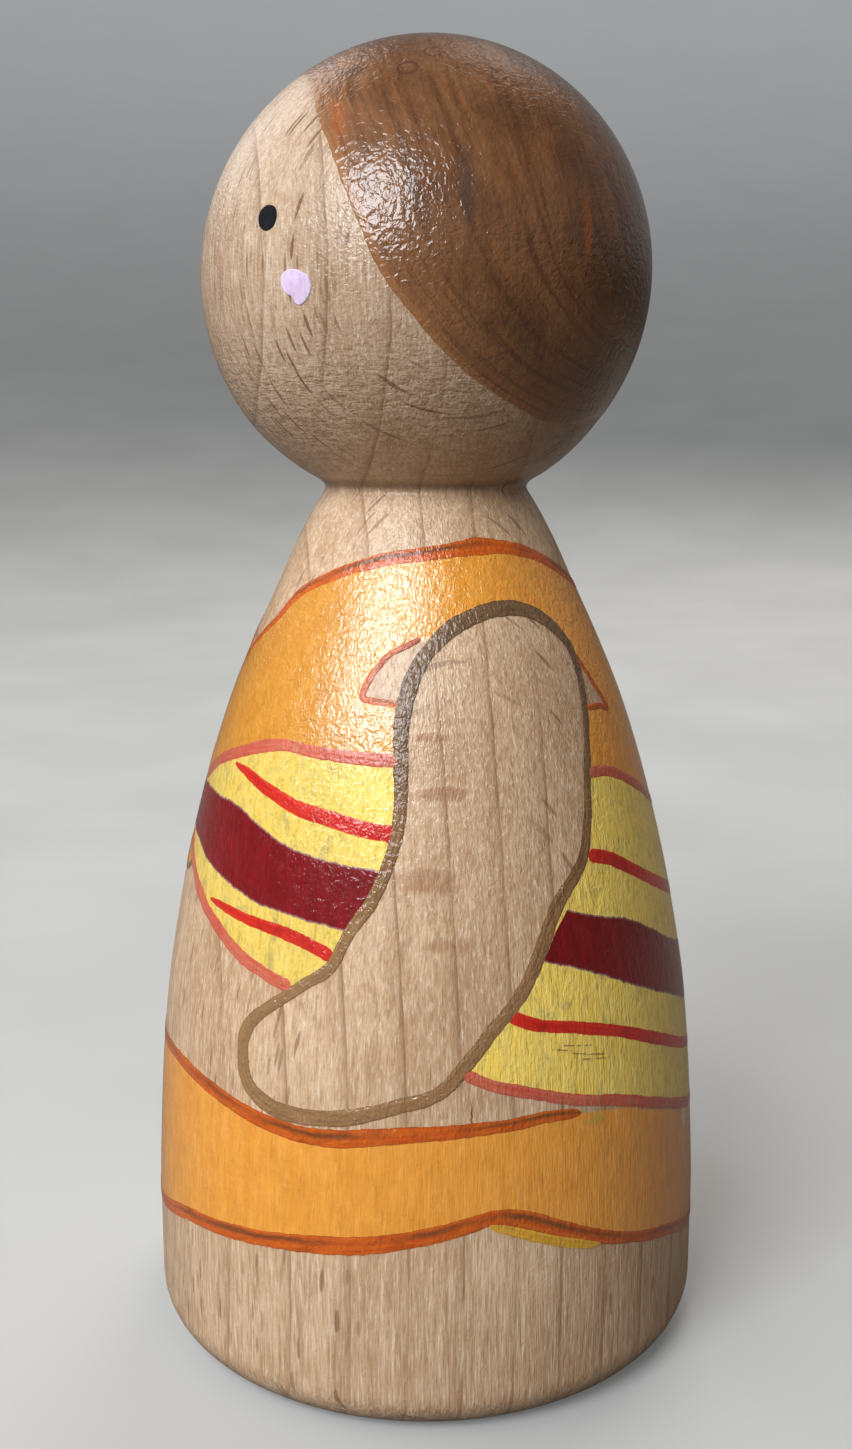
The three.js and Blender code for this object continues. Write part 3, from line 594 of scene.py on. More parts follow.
# ---------------------------------------------------------------- paints
def paint(name, tones, show=0.25, show_from=0.50, show_full=0.72, along_stroke=False,
          rim_tone=None, rim_strength=0.0, rim_width=0.0, core=None, blotch=0.3,
          rough=(0.30, 0.42), grain=0.8, tint=None, ridge=0.012, coat=0.9, coat_rough=0.07,
          coat_ior=1.5, peel=0.072, bare=0.0, patchy=0.0, calm=None, extra=None):
    """An acrylic paint with the wood's grain in its relief.

    tones: two in brush streaks, a third in blotches (as strong as blotch)
    show, show_from, show_full: how much wood shows along the fibres, and at what fibre noise
    bare, patchy: least wood that shows in thin places, and in long patches of a stroke
    tint: the paint's stain on the wood that shows
    rim_tone, rim_strength, rim_width: a toothed tone along the edge
    core: a swaying band in a stroke: tone, place across, half width, strength
    grain, ridge, peel: relief of the wood, the brush and the pebbled skin
    calm: less pebbling low down: height it starts to rise, height it is full, share below
    extra: a function that adds details to the colour
    """
    material, t = new_material(name)
    wood = t.add("ShaderNodeGroup", node_tree=BEECH).outputs
    p = t.millimetres()
    if along_stroke:
        uv = t.stroke_map()
        streak = t.noise(t.moved(t.scaled(uv, (0.22, 2.6, 0.0)), (1.7, 3.1, 0.0)),
                         detail=4.0, rough=0.62, warp=0.2)
        hairs = t.noise(uv, stretch=(0.9, 5.5, 0.0))
    else:
        streak = t.noise(p, stretch=(1.6, 1.6, 0.30), detail=4.0, rough=0.62, warp=0.3)
        hairs = t.noise(p, stretch=(4.2, 4.2, 0.9))
    col = t.layers(tones[0], [
        (streak, 0.36, 0.66, 1.0, tones[1]),
        (t.noise(p, shift=(4.0, 8.0, 15.0), scale=0.55, warp=0.4), 0.48, 0.72, blotch, tones[2]),
        (hairs, 0.56, 0.76, 0.28, tones[1]),
        (wood["Fibre"], 0.50, 0.72, 0.18, tuple(0.62 * c for c in tones[0]))])
    if core is not None:
        tone, place, half_width, strength = core
        across = t.plus(t.split(uv)[1], t.centred(t.noise(uv, stretch=(0.35, 0.0, 0.0)), 1.1))
        across = t.plus(across, t.centred(streak, 0.5))
        band = t.fall(t.math("ABSOLUTE", t.minus(across, place)), 0.02, half_width)
        breaks = t.noise(uv, stretch=(0.10, 0.0, 0.0), detail=2.0, rough=0.5)
        band = t.times(band, t.ramp(breaks, 0.38, 0.56, low=0.10))
        col = t.mix(t.times(band, strength), col, tone)
    if patchy:
        patches = t.noise(uv, stretch=(0.16, 0.25, 0.0))
        strand = t.noise(uv, stretch=(0.10, 1.7, 0.0), rough=0.65)
        dark = t.times(t.ramp(strand, 0.50, 0.62),
                       t.ramp(patches, 0.35, 0.60, low=0.25, high=0.85))
        col = t.mix(dark, col, tuple(0.42 * c for c in tones[0]))
    if show > 0:
        through = wood["Color"]
        if tint is not None:
            through = t.tinted(through, tint)
        amount = t.ramp(wood["Fibre"], show_from, show_full, high=show)
        thin = t.ramp(t.noise(p, shift=(50.0, 2.0, 6.0), scale=0.42), 0.40, 0.62, low=0.4)
        amount = t.times(amount, thin)
        if bare:
            amount = t.math("MAXIMUM", amount, t.times(thin, bare))
        if patchy:
            amount = t.math("MAXIMUM", amount, t.times(t.ramp(patches, 0.54, 0.66), patchy))
        col = t.mix(amount, col, through)
    if rim_tone is not None:
        rim = t.rim()
        teeth = t.noise(p, stretch=(4.0, 4.0, 0.8), detail=2.0)
        hard = t.math("LESS_THAN", rim, t.swing(teeth, rim_width * 1.6, rim_width))
        soft = t.times(t.fall(rim, 0.0, rim_width * 1.5, kind="LINEAR"), rim_strength)
        col = t.mix(t.math("MAXIMUM", t.times(hard, 0.75 * rim_strength), soft), col, rim_tone)
    if extra is not None:
        col = extra(t, col, p)
    relief = t.swing(streak, ridge * 2, t.times(wood["Height"], grain))
    pebbles = t.minus(wood["Peel"], 0.5)
    if calm is not None:
        start, full, share = calm
        pebbles = t.times(pebbles, t.ramp(t.split(p)[2], start, full, low=share))
    relief = t.madd(pebbles, peel, relief)
    surface(t, col, t.ramp(hairs, 0.3, 0.7, low=rough[0], high=rough[1], kind="LINEAR"),
            relief, coat, coat_rough, coat_ior)
    return material


# slanting scratches on the doll's left at the back: y from, y to, height at y 7.3, slope
SLANTS = [(5.8, 8.0, 25.70, -0.20), (6.4, 8.9, 25.15, -0.26), (7.2, 9.2, 24.80, -0.20),
          (5.0, 6.4, 25.35, -0.24)]
UPRIGHTS = [(6.6, 25.0), (8.25, 24.7)]       # scratches that cross them: y, lower end
UPRIGHT_LENGTH = 0.75


def yellow_extra(t, col, p):
    """Grey-green where the coat is thin, and a few crossed scratches."""
    x, y, z = t.split(p)
    cloud = t.noise(p, stretch=(0.9, 0.9, 0.55), shift=(2.0, 5.0, 9.0),
                    detail=4.0, rough=0.65, warp=0.4)
    fine = t.noise(p, stretch=(5.0, 5.0, 0.7))
    col = t.layers(col, [
        (cloud, 0.53, 0.70, 0.55, (0.44, 0.370, 0.15)),
        (fine, 0.54, 0.68, 0.50, (0.50, 0.35, 0.08)),
        (fine, 0.44, 0.32, 0.30, (0.96, 0.80, 0.36))])

    def scratch(off, along, start, end):
        extent = t.times(t.math("GREATER_THAN", along, start), t.math("LESS_THAN", along, end),
                         t.math("GREATER_THAN", x, 0.0))
        return t.times(t.fall(t.math("ABSOLUTE", off), 0.03, 0.07), extent)

    for start, end, height, slope in SLANTS:
        off = t.minus(z, t.madd(y, slope, height - slope * 7.3))
        broken = t.ramp(t.noise(p, scale=2.2, detail=1.0, rough=0.5), 0.42, 0.50)
        col = t.mix(t.times(scratch(off, y, start, end), t.times(broken, 0.75)), col,
                    (0.22, 0.12, 0.03))
    # duller towards the front
    col = t.mix(t.ramp(y, -5.0, -9.5), col, t.tinted(col, (0.84, 0.82, 0.80)))
    for place, low in UPRIGHTS:
        mark = scratch(t.minus(y, place), z, low, low + UPRIGHT_LENGTH)
        col = t.mix(t.times(mark, 0.55), col, (0.26, 0.14, 0.03))
    return col


# a white spot and a thin greenish patch, at the back of the doll's left hip:
# centre, half axes, tone, strength
HIP_PATCHES = [
    ((10.0, 16.9, 17.0), (1.6, 0.45, 1.25), (0.80, 0.72, 0.68), 0.75),
    ((17.4, 8.2, 20.6), (1.0, 0.9, 0.45), (0.46, 0.36, 0.06), 0.55)]


def orange_extra(t, col, p):
    y, z = t.split(p)[1:]
    cloud = t.noise(p, stretch=(1.1, 1.1, 2.4), warp=0.5)
    fine = t.noise(p, stretch=(3.5, 3.5, 0.5))
    specks = t.noise(p, scale=2.7, detail=2.0)
    col = t.layers(col, [
        (cloud, 0.56, 0.74, 0.35, (0.86, 0.42, 0.10)),
        (fine, 0.56, 0.70, 0.45, (0.55, 0.21, 0.016)),
        (fine, 0.44, 0.32, 0.30, (0.93, 0.46, 0.10)),
        (specks, 0.70, 0.76, 0.5, (0.35, 0.15, 0.02))])
    # darker on the chest
    chest = t.times(t.ramp(y, -3.0, -7.5), t.ramp(z, 33.0, 39.0))
    col = t.mix(chest, col, t.tinted(col, (0.80, 0.82, 0.70)))
    for centre, size, tone, strength in HIP_PATCHES:
        d = t.swing(specks, 1.4, t.distance(p, centre, size))
        col = t.mix(t.times(t.fall(d, 0.55, 1.1), strength), col, tone)
    return col


def arm_extra(t, col, p):
    """Darker and greyer round the shoulder, warmer lower down."""
    z = t.split(p)[2]
    cloud = t.noise(p, stretch=(0.5, 0.5, 0.35))
    shoulder = t.ramp(t.swing(cloud, 9.0, z), 38.0, 47.0)
    col = t.mix(t.times(shoulder, 0.50), col, (0.095, 0.058, 0.032))
    low = t.ramp(t.swing(cloud, 14.0, z), 38.0, 29.0)
    return t.mix(t.times(low, 0.40), col, (0.36, 0.198, 0.088))


# marks in the hair on the doll's left: centre, half axes, tone, strength
HAIR_SMEARS = [
    ((13.0, 7.7, 77.0), (1.6, 0.40, 2.6), (0.30, 0.075, 0.018), 0.60),      # towards the back
    ((14.5, -0.1, 78.6), (1.5, 0.55, 3.0), (0.045, 0.032, 0.030), 0.55),    # on the side
    ((7.8, -5.8, 86.3), (1.0, 1.1, 0.6), (0.05, 0.022, 0.010), 0.60),       # near the crown
    ((10.4, -7.2, 82.9), (1.6, 0.5, 2.8), (0.36, 0.095, 0.020), 0.55)]      # at the front
HAIR_RINGS = [((9.5, -2.8, 86.24), 0.62), ((8.3, -1.0, 87.46), 0.60)]       # centre, radius


def hair_extra(t, col, p):
    along, across = t.split(t.stroke_map())[:2]
    rim = t.rim()
    # long streaks that turn with the head
    streak = t.noise(t.join(t.times(along, 0.10), t.times(across, 1.1), 0.0),
                     detail=4.0, rough=0.62, warp=0.5)
    fine = t.noise(t.join(t.times(along, 0.30), t.times(across, 3.6), 3.0), warp=0.3)
    broad = t.noise(p, shift=(7.0, 3.0, 1.0), scale=0.16, warp=0.5)
    col = t.layers(col, [
        (broad, 0.40, 0.64, 0.60, (0.080, 0.031, 0.012)),
        (streak, 0.50, 0.68, 0.60, (0.070, 0.024, 0.009)),
        (streak, 0.46, 0.30, 0.50, (0.235, 0.098, 0.036)),
        (fine, 0.58, 0.70, 0.50, (0.27, 0.080, 0.020)),
        (fine, 0.42, 0.32, 0.35, (0.060, 0.022, 0.009))])
    # thinner and warmer towards the hairline
    near = t.times(t.fall(rim, 0.0, 5.5), t.ramp(fine, 0.35, 0.62, low=0.10, high=0.60))
    col = t.mix(near, col, (0.30, 0.125, 0.045))
    thin = t.times(t.fall(rim, 0.15, 0.9), t.ramp(streak, 0.35, 0.6, low=0.15, high=0.55))
    col = t.mix(thin, col, (0.36, 0.155, 0.050))
    fray = t.centred(t.noise(p, scale=1.6), 0.9)
    for centre, size, tone, strength in HAIR_SMEARS:
        d = t.plus(t.distance(p, centre, size), fray)
        col = t.mix(t.times(t.fall(d, 0.35, 1.25), strength), col, tone)
    for centre, radius in HAIR_RINGS:
        d = t.math("ABSOLUTE", t.minus(t.distance(p, centre, (1.0, 1.0, 1.0)), radius))
        col = t.mix(t.times(t.fall(d, 0.04, 0.16), 0.60), col, (0.075, 0.022, 0.010))
    return col


# one material for each slot
MATERIALS = {
    "beech": wood_material(),
    "orange": paint(
        "orange_paint", [(0.78, 0.300, 0.028), (0.86, 0.355, 0.044), (0.66, 0.242, 0.018)],
        show=0.14, blotch=0.45, rim_tone=(0.45, 0.30, 0.10), rim_strength=0.35, rim_width=0.12,
        peel=0.085, coat=1.0, coat_rough=0.025, coat_ior=1.75, calm=(24.0, 40.0, 0.40),
        extra=orange_extra),
    "yellow": paint(
        "yellow_paint", [(0.93, 0.65, 0.108), (0.97, 0.72, 0.17), (0.82, 0.62, 0.14)],
        show=0.30, show_full=0.7, blotch=0.45, grain=1.15, tint=(0.90, 0.88, 0.60),
        peel=0.06, ridge=0.02, extra=yellow_extra),
    "dark_red": paint(
        "dark_red_paint",
        [(0.165, 0.0018, 0.0040), (0.215, 0.0035, 0.0080), (0.12, 0.0010, 0.0022)],
        show=0.05, rim_tone=(0.34, 0.26, 0.22), rim_strength=0.80, rim_width=0.10,
        ridge=0.010, peel=0.05),
    "bright_red": paint(
        "bright_red_paint", [(0.55, 0.012, 0.006), (0.64, 0.030, 0.014), (0.28, 0.005, 0.004)],
        show=0.0, along_stroke=True, blotch=0.6, grain=0.7, rim_tone=(0.74, 0.30, 0.04),
        rim_strength=0.35, rim_width=0.10),
    "pink_outline": paint(
        "pink_red_line", [(0.56, 0.065, 0.040), (0.60, 0.14, 0.09), (0.40, 0.035, 0.022)],
        show=0.75, show_from=0.40, show_full=0.64, along_stroke=True, blotch=0.4, grain=0.9,
        tint=(1.0, 0.55, 0.42), bare=0.22),
    "orange_outline": paint(
        "orange_red_line", [(0.52, 0.076, 0.002), (0.62, 0.120, 0.006), (0.32, 0.038, 0.003)],
        show=0.22, along_stroke=True, core=((0.115, 0.040, 0.010), 0.30, 0.62, 0.84),
        blotch=0.5, tint=(1.0, 0.50, 0.24), bare=0.04, rim_tone=(0.15, 0.055, 0.014),
        rim_strength=0.50, rim_width=0.07, peel=0.10, coat_rough=0.04),
    "brown_outline": paint(
        "brown_line", [(0.215, 0.108, 0.042), (0.285, 0.152, 0.063), (0.135, 0.063, 0.025)],
        show=0.50, show_from=0.44, show_full=0.68, along_stroke=True, blotch=0.5, grain=1.0,
        tint=(0.66, 0.50, 0.34), bare=0.12, patchy=0.60, rim_tone=(0.085, 0.038, 0.016),
        rim_strength=0.58, rim_width=0.13, peel=0.12, coat=0.75, coat_rough=0.04,
        coat_ior=1.6, extra=arm_extra),
    "amber": paint(
        "amber_paint", [(0.62, 0.31, 0.020), (0.70, 0.39, 0.040), (0.46, 0.22, 0.025)],
        show=0.35, along_stroke=True, grain=0.9),
    "eye_black": paint(
        "eye_black", [(0.005, 0.005, 0.008), (0.009, 0.010, 0.014), (0.004, 0.004, 0.005)],
        show=0.0, grain=0.2, rough=(0.80, 0.90), ridge=0.004, peel=0.02, coat=0.03),
    "cheek_pink": paint(
        "cheek_lilac", [(0.66, 0.50, 0.72), (0.74, 0.60, 0.80), (0.56, 0.38, 0.55)],
        blotch=0.5, grain=0.5, ridge=0.02, coat=0.3, peel=0.03),
    "hair_brown": paint(
        "brown_hair_paint",
        [(0.150, 0.062, 0.024), (0.190, 0.083, 0.033), (0.105, 0.041, 0.016)],
        show=0.20, show_from=0.48, blotch=0.5, grain=0.30, tint=(0.50, 0.32, 0.20),
        ridge=0.006, coat=0.80, coat_rough=0.05, coat_ior=1.52, peel=0.092, extra=hair_extra),
}

# ---------------------------------------------------------------- mesh makers
# lower and upper face of each kind of layer, in mm off the wood
COAT = (0.004, 0.024)
HAIR_COAT = (COAT[0], COAT[1] + 0.010)
BROAD_STRIPE = (0.014, 0.038)
THIN_STRIPE = (COAT[0], BROAD_STRIPE[1])
LINE = (0.003, 0.050)
ARM_LINE = (0.003, 0.058)
STREAK = (COAT[0], 0.045)
EYE = (COAT[0], 0.075)
CHEEK = (COAT[0], 0.070)
BEAD = 0.14                      # width of the rounded rim of a coat
BAND_RIM = 0.22                  # the same for the hair and the hip band


def place(name, data):
    ob = bpy.data.objects.new(name, data)
    bpy.context.scene.collection.objects.link(ob)
    return ob


def hand_over(ob, node):
    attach(ob, "root")
    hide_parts(node)


def add_uv(mesh, name, per_vertex):
    layer = mesh.uv_layers.new(name=name)
    index = np.zeros(len(mesh.loops), np.int32)
    mesh.loops.foreach_get("vertex_index", index)
    layer.data.foreach_set("uv", np.asarray(per_vertex, np.float32)[index].ravel())


def painted(name, node, slot, verts, faces, rim, stroke_uv, bake_uv):
    """A layer of paint with its two maps and the rim attribute its material reads."""
    mesh = bpy.data.meshes.new(name)
    mesh.from_pydata(((np.asarray(verts, float) + ORIGIN) * MM).tolist(), [], faces)
    mesh.validate(verbose=False)
    add_uv(mesh, "OFBake", bake_uv)
    add_uv(mesh, "Stroke", stroke_uv)
    attribute = mesh.attributes.new("rim", "FLOAT", "POINT")
    attribute.data.foreach_set("value", np.asarray(rim, np.float32))
    mesh.materials.append(MATERIALS[slot])
    mesh.shade_smooth()
    mesh.set_sharp_from_angle(angle=math.radians(35))
    mesh.update()
    hand_over(place(name, mesh), node)


def rounded_rim(distance, width, low, top):
    """Height of a coat that rounds down towards its edge."""
    t = np.clip(distance / width, 0, 1)
    return low + (top - low) * (0.3 + 0.7 * np.sqrt(1 - (1 - t) ** 2))


def ring_faces(rings, around):
    """Quads between rings of points stacked upwards."""
    return [(i * around + j, i * around + (j + 1) % around,
             (i + 1) * around + (j + 1) % around, (i + 1) * around + j)
            for i in range(rings - 1) for j in range(around)]


def strip_faces(up, long, wide, closed):
    """Faces of a closed strip: an upper grid of long x wide points, then a lower one."""
    low = long * wide
    steps = [(i * wide, (i + 1) % long * wide) for i in range(long if closed else long - 1)]
    quads = [(a + j, b + j, b + j + 1, a + j + 1) for a, b in steps for j in range(wide - 1)]
    faces = quads + [tuple(low + k for k in quad[::-1]) for quad in quads]
    last = wide - 1
    for a, b in steps:
        faces.append((a, low + a, low + b, b))
        faces.append((a + last, b + last, low + b + last, low + a + last))
    if not closed:
        for j in range(wide - 1):
            k = (long - 1) * wide + j
            faces.append((j, j + 1, low + j + 1, low + j))
            faces.append((k, low + k, low + k + 1, k + 1))
    # turned round if an upper quad looks inwards
    a, b, c = (up[k] for k in faces[len(faces) // 5][:3])
    middle = (a + b + c) / 3
    outward = np.dot(np.cross(b - a, c - a), [middle[0], middle[1], 0.0])
    return [face[::-1] for face in faces] if outward < 0 else faces


def stroke(name, node, slot, path, width, seed, layer=LINE, ends=(0.3, 0.3), closed=False,
           slow=0.10, fine=0.05, swell=((0, 1), (1, 1))):
    """One pull of a loaded brush: a strip with a rounded section and brush ridges.

    ends: length of the round tip at the start and at the end
    slow, fine: wobble of each side, the first as a share of the width
    swell: share of the path, share of the width
    """
    columns = 11
    low, top = layer
    curve, s, total = resampled(catmull(path, closed), 0.14, closed)
    half = width / 2.0 * np.interp(s / total, [k[0] for k in swell], [k[1] for k in swell])
    if not closed:
        for distance, length in ((s, ends[0]), (total - s, ends[1])):
            q = np.clip(1 - distance / length, 0, 1)
            half = half * np.sqrt(np.clip(1 - q * q, 0.0, 1)) + 0.012

    def around(number, scale):
        if not closed:
            return wobble(s / scale, number)
        t = np.clip((total - s) / 3.0, 0, 1)        # blends the two ends of a closed line
        return wobble(s / scale, number) * t + wobble((s - total) / scale, number) * (1 - t)

    shake = fine * np.minimum(1, half / 0.2)
    left = half * (1 + slow * around(seed, 2.4)) + shake * around(seed + 31, 0.5)
    right = half * (1 + slow * around(seed + 57, 2.1)) + shake * around(seed + 71, 0.45)
    nx, ny, r, radial = (part[:, None] for part in sideways(curve, closed))
    v = np.sin(np.linspace(-np.pi / 2, np.pi / 2, columns))
    off = np.where(v[None] < 0, v[None] * right[:, None], v[None] * left[:, None])
    longitude = curve[:, :1] + np.degrees(nx * off / r)
    z = curve[:, 1:] + ny * off * radial
    ridges = 1 + 0.25 * noise(v[None] * 3.1 + s[:, None] * 0.25, seed + 3)
    body = (1 - np.abs(v) ** 4)[None] * ridges
    lift = low + (top - low) * (0.52 + 0.48 * np.clip(body, 0, 1.3))
    up = on_doll(longitude, z, lift).reshape(-1, 3)
    down = on_doll(longitude, z, low).reshape(-1, 3)
    count = len(curve)
    # the bake map folds the strip into rows, upper face over lower face
    share = np.repeat(s / total, columns)
    rows = max(1, int(total / 12))
    row = np.minimum((share * rows).astype(int), rows - 1)
    bake_u = (share * rows - row) * 0.96 + 0.02
    across = np.tile(v, count) * 0.5 + 0.5
    bake = [np.stack([bake_u, (row + start + size * across) / rows], -1)
            for start, size in ((0.08, 0.6), (0.72, 0.2))]
    stroke_uv = np.stack([np.repeat(s, columns), np.tile(v, count)], -1)
    painted(name, node, slot, np.vstack([up, down]), strip_faces(up, count, columns, closed),
            np.tile(1 - np.abs(v), 2 * count), np.vstack([stroke_uv, stroke_uv]),
            np.vstack(bake))


def inside(points, outline):
    x, y = points[:, 0], points[:, 1]
    hit = np.zeros(len(points), bool)
    for (x0, y0), (x1, y1) in zip(outline, np.roll(outline, -1, axis=0)):
        if y0 != y1:
            hit ^= ((y0 > y) != (y1 > y)) & (x < (x1 - x0) * (y - y0) / (y1 - y0) + x0)
    return hit


def nearest(points, line):
    """Distance from each point to the nearest point of a line."""
    out = np.empty(len(points))
    for k in range(0, len(points), 400):
        d = points[k:k + 400, None] - line[None]
        out[k:k + 400] = np.sqrt((d * d).sum(-1).min(-1))
    return out


def film(name, node, slot, sides, layer=COAT, spacing=0.6, bead=BEAD, seed=1, relief=0.0):
    """A coat of paint: a thin closed shell inside an outline of (curve, is it a real edge)."""
    low, top = layer
    curves = [curve for curve, _ in sides]
    for before, after in zip(curves, curves[1:] + curves[:1]):
        after[0] = before[-1]
    outline = np.vstack([curve[:-1] for curve in curves])
    degree = math.radians(float(radius_at(outline[:, 1].mean())))   # mm at the film's middle
    flat = outline * [degree, 1]
    real = np.vstack([curve for curve, is_real in sides if is_real]) * [degree, 1]
    after = np.roll(flat, -1, axis=0)
    if np.sum(flat[:, 0] * after[:, 1] - after[:, 0] * flat[:, 1]) < 0:
        flat = flat[::-1]
    # a triangular grid inside, and a ring of points along the rim
    lo, hi = flat.min(0), flat.max(0)
    gx, gy = np.meshgrid(np.arange(lo[0], hi[0], spacing),
                         np.arange(lo[1], hi[1], spacing * 0.866))
    gx = gx + (np.arange(gx.shape[0]) % 2)[:, None] * spacing / 2
    grid = np.stack([gx.ravel(), gy.ravel()], -1)
    grid = grid[inside(grid, flat)]
    grid = grid[nearest(grid, flat) > 0.45 * spacing]
    d = np.roll(flat, -1, axis=0) - np.roll(flat, 1, axis=0)
    inward = np.stack([-d[:, 1], d[:, 0]], -1)
    inward = inward / np.maximum(np.linalg.norm(d, axis=1), 1e-9)[:, None]
    ring = flat + inward * bead
    ring = ring[inside(ring, flat)]
    ring = ring[nearest(ring, flat) > 0.8 * bead]
    cdt = delaunay_2d_cdt([Vector(p) for p in np.vstack([flat, ring, grid])], [],
                          [list(range(len(flat)))], 1, 1e-5)
    used = sorted({i for face in cdt[2] for i in face})
    index = {old: new for new, old in enumerate(used)}
    points = np.array([list(p) for p in cdt[0]])[used]
    triangles = [[index[i] for i in face] for face in cdt[2]]

    distance = nearest(points, real)
    lift = rounded_rim(distance, bead * 1.6, low, top)
    lift = lift + (relief * np.clip(distance / (bead * 1.6), 0, 1)
                   * wobble(points[:, 0] / 1.7 + 0.3 * points[:, 1], seed)
                   * wobble(points[:, 1] / 1.3, seed + 2))
    longitude, z = points[:, 0] / degree, points[:, 1]
    up, down = on_doll(longitude, z, lift), on_doll(longitude, z, low)
    m = len(points)
    edges = dict.fromkeys((a, b) for f in triangles for a, b in zip(f, f[1:] + f[:1]))
    faces = [tuple(f) for f in triangles] + [tuple(m + i for i in f[::-1]) for f in triangles]
    faces += [(b, a, m + a, m + b) for a, b in edges if (b, a) not in edges]
    # the bake map has the lower face squeezed along one side
    span = np.maximum(hi - lo, 1e-6)
    q = (points - lo) / span.max()
    if span[0] > span[1]:
        under = q * [0.98, 0.02] + [0.01, 0.975]
    else:
        under = q * [0.02, 0.98] + [0.975, 0.01]
    painted(name, node, slot, np.vstack([up, down]), faces, np.tile(distance, 2),
            np.vstack([points, points]), np.vstack([q * 0.98 + 0.01, under]))


# how an edge is painted: slow wobble, fine wobble and teeth, in mm
FREE = (0.05, 0.03, 0.0)
STEADY = (0.02, 0.02, 0.0)
BY_ARM = (0.03, 0.02, 0.0)
TOOTHED = (0.05, 0.03, 0.03)
STRIPE_EDGE = (0.08, 0.03, 0.05)
STRIPE_TOP = (0.06, 0.03, 0.05)
JOIN = None                      # no painted edge: a straight join


def outlined(rows, seed):
    """Sides of a film from (points, hand) rows; painted sides take seeds in order."""
    sides = []
    for points, hand in rows:
        if hand is JOIN:
            sides.append((resampled(np.array(points, float), 0.25)[0], False))
        else:
            sides.append((edge(points, seed, *hand), True))
            seed += 1
    return sides


def symmetric(rows, seed, mirror=mirrored):
    """Sides of a film from its left half, and back over the other half."""
    other = [(mirror(points), hand) for points, hand in rows[::-1]]
    return outlined(rows + other, seed)


# ---------------------------------------------------------------- the drawing
# [longitude, height] on the doll's left half
NECKLINE = [
    [0.0, 48.75], [2.6, 49.7], [8.5, 50.7], [18, 52.2], [25.4, 53.75], [43, 55.3], [62, 56.3],
    [82.3, 56.8], [102, 57.15], [117, 56.95], [134, 56.2], [148, 55.1], [163.5, 54.0],
    [172, 53.6], [180, 53.5]]
SLEEVE_FRONT = [[78.2, 51.55], [67.2, 50.24], [61.9, 47.95], [65.2, 47.72], [72.6, 47.6]]
SLEEVE_BACK = [[134.2, 49.9], [137.6, 48.4], [141.2, 46.9], [142.6, 46.1], [138.0, 46.4],
               [131.3, 46.5]]
# over the shoulder from front to back, down the back of the arm, and up its front
ARM_SHOULDER = [
    [81, 50.83], [87.6, 52.08], [97.8, 52.94], [108.4, 53.27], [119.8, 52.8], [127.7, 51.77],
    [132.6, 50.37]]
ARM_BEHIND_SLEEVE = [[132.8, 48.82], [130.3, 46.63], [127.3, 44.55], [124, 41.99]]
ARM_BEHIND = [
    [121.3, 39.49], [118.3, 37.47], [114.5, 36.32], [110, 35.02], [106.9, 33.66],
    [104.8, 32.43], [102, 30.85], [98.6, 29.36], [93.6, 27.77], [89, 26.06]]
ARM_HAND = [
    [85.3, 24.67], [81.8, 23.68], [74.8, 22.95], [67, 22.18], [59, 21.66], [50.9, 21.6],
    [46.3, 22.0], [42.5, 22.8], [40.8, 24.44], [40.9, 25.79], [42, 26.73], [45.6, 27.91],
    [51.4, 29.3]]
ARM_BEFORE = [
    [54.3, 30.01], [60.0, 31.3], [63.8, 33.62], [67.4, 35.17], [70, 36.68], [72.2, 38.41],
    [73.6, 40.05], [74.1, 42.17], [73.8, 44.21]]
ARM_BEFORE_SLEEVE = [[73.5, 46.25], [74.5, 47.94], [76.9, 49.62]]
ARM = ARM_SHOULDER + ARM_BEHIND_SLEEVE + ARM_BEHIND + ARM_HAND + ARM_BEFORE + ARM_BEFORE_SLEEVE
WRAP_TOP_FRONT = [
    [0, 40.75], [6, 41.6], [13, 42.5], [21.8, 43.34], [38.7, 44.48], [50.5, 44.39],
    [61.4, 44.26], [73.2, 44.21]]
WRAP_BOTTOM_FRONT = [
    [0, 36.35], [3, 35.75], [8, 35.0], [14.3, 34.1], [21.1, 32.99], [29.6, 31.92],
    [37.7, 30.81], [43.9, 30.25], [48.3, 29.88], [51.6, 29.75]]
BROAD_TOP_FRONT = [
    [0, 40.3], [9.8, 40.3], [27.9, 40.08], [38.4, 39.19], [49.7, 38.23], [61.1, 37.78],
    [71, 37.54]]
BROAD_BOTTOM_FRONT = [
    [0, 36.75], [7, 36.62], [18.4, 35.8], [35.4, 34.77], [42.1, 34.39], [51.7, 34.06],
    [59.9, 33.81], [64.2, 33.5]]
THIN_TOP_FRONT = [
    [21.5, 42.6], [28, 42.3], [35.7, 41.75], [48.3, 40.80], [57.6, 40.40], [66.4, 39.95],
    [72.9, 39.75]]
THIN_BOTTOM_FRONT = [
    [23.2, 33.62], [30, 33.5], [37.5, 33.28], [47.5, 33.05], [55.4, 32.55], [60.6, 31.95]]
WRAP_TOP_BACK = [
    [124.6, 42.6], [132.7, 42.35], [141.1, 41.5], [151.1, 40.2], [159, 39.1], [169, 38.2],
    [180, 37.9]]
WRAP_BOTTOM_BACK = [
    [87.4, 25.0], [92.4, 24.19], [99.8, 23.44], [107.8, 22.57], [121.9, 21.23],
    [134.5, 19.66], [155, 17.0], [168, 16.1], [180, 15.8]]
THIN_TOP_BACK = [
    [119.9, 37.5], [126.4, 37.0], [135, 35.7], [148, 33.8], [164, 32.0], [172, 31.5],
    [180, 31.3]]
BROAD_TOP_BACK = [
    [111.9, 34.5], [119.1, 33.78], [129, 32.9], [139.6, 31.3], [151, 29.6], [163, 28.3],
    [172, 27.7], [180, 27.5]]
BROAD_BOTTOM_BACK = [
    [104.9, 31.5], [111.8, 30.75], [120.9, 29.5], [128.2, 28.44], [138.1, 27.0],
    [150, 25.4], [163, 23.9], [172, 23.2], [180, 23.0]]
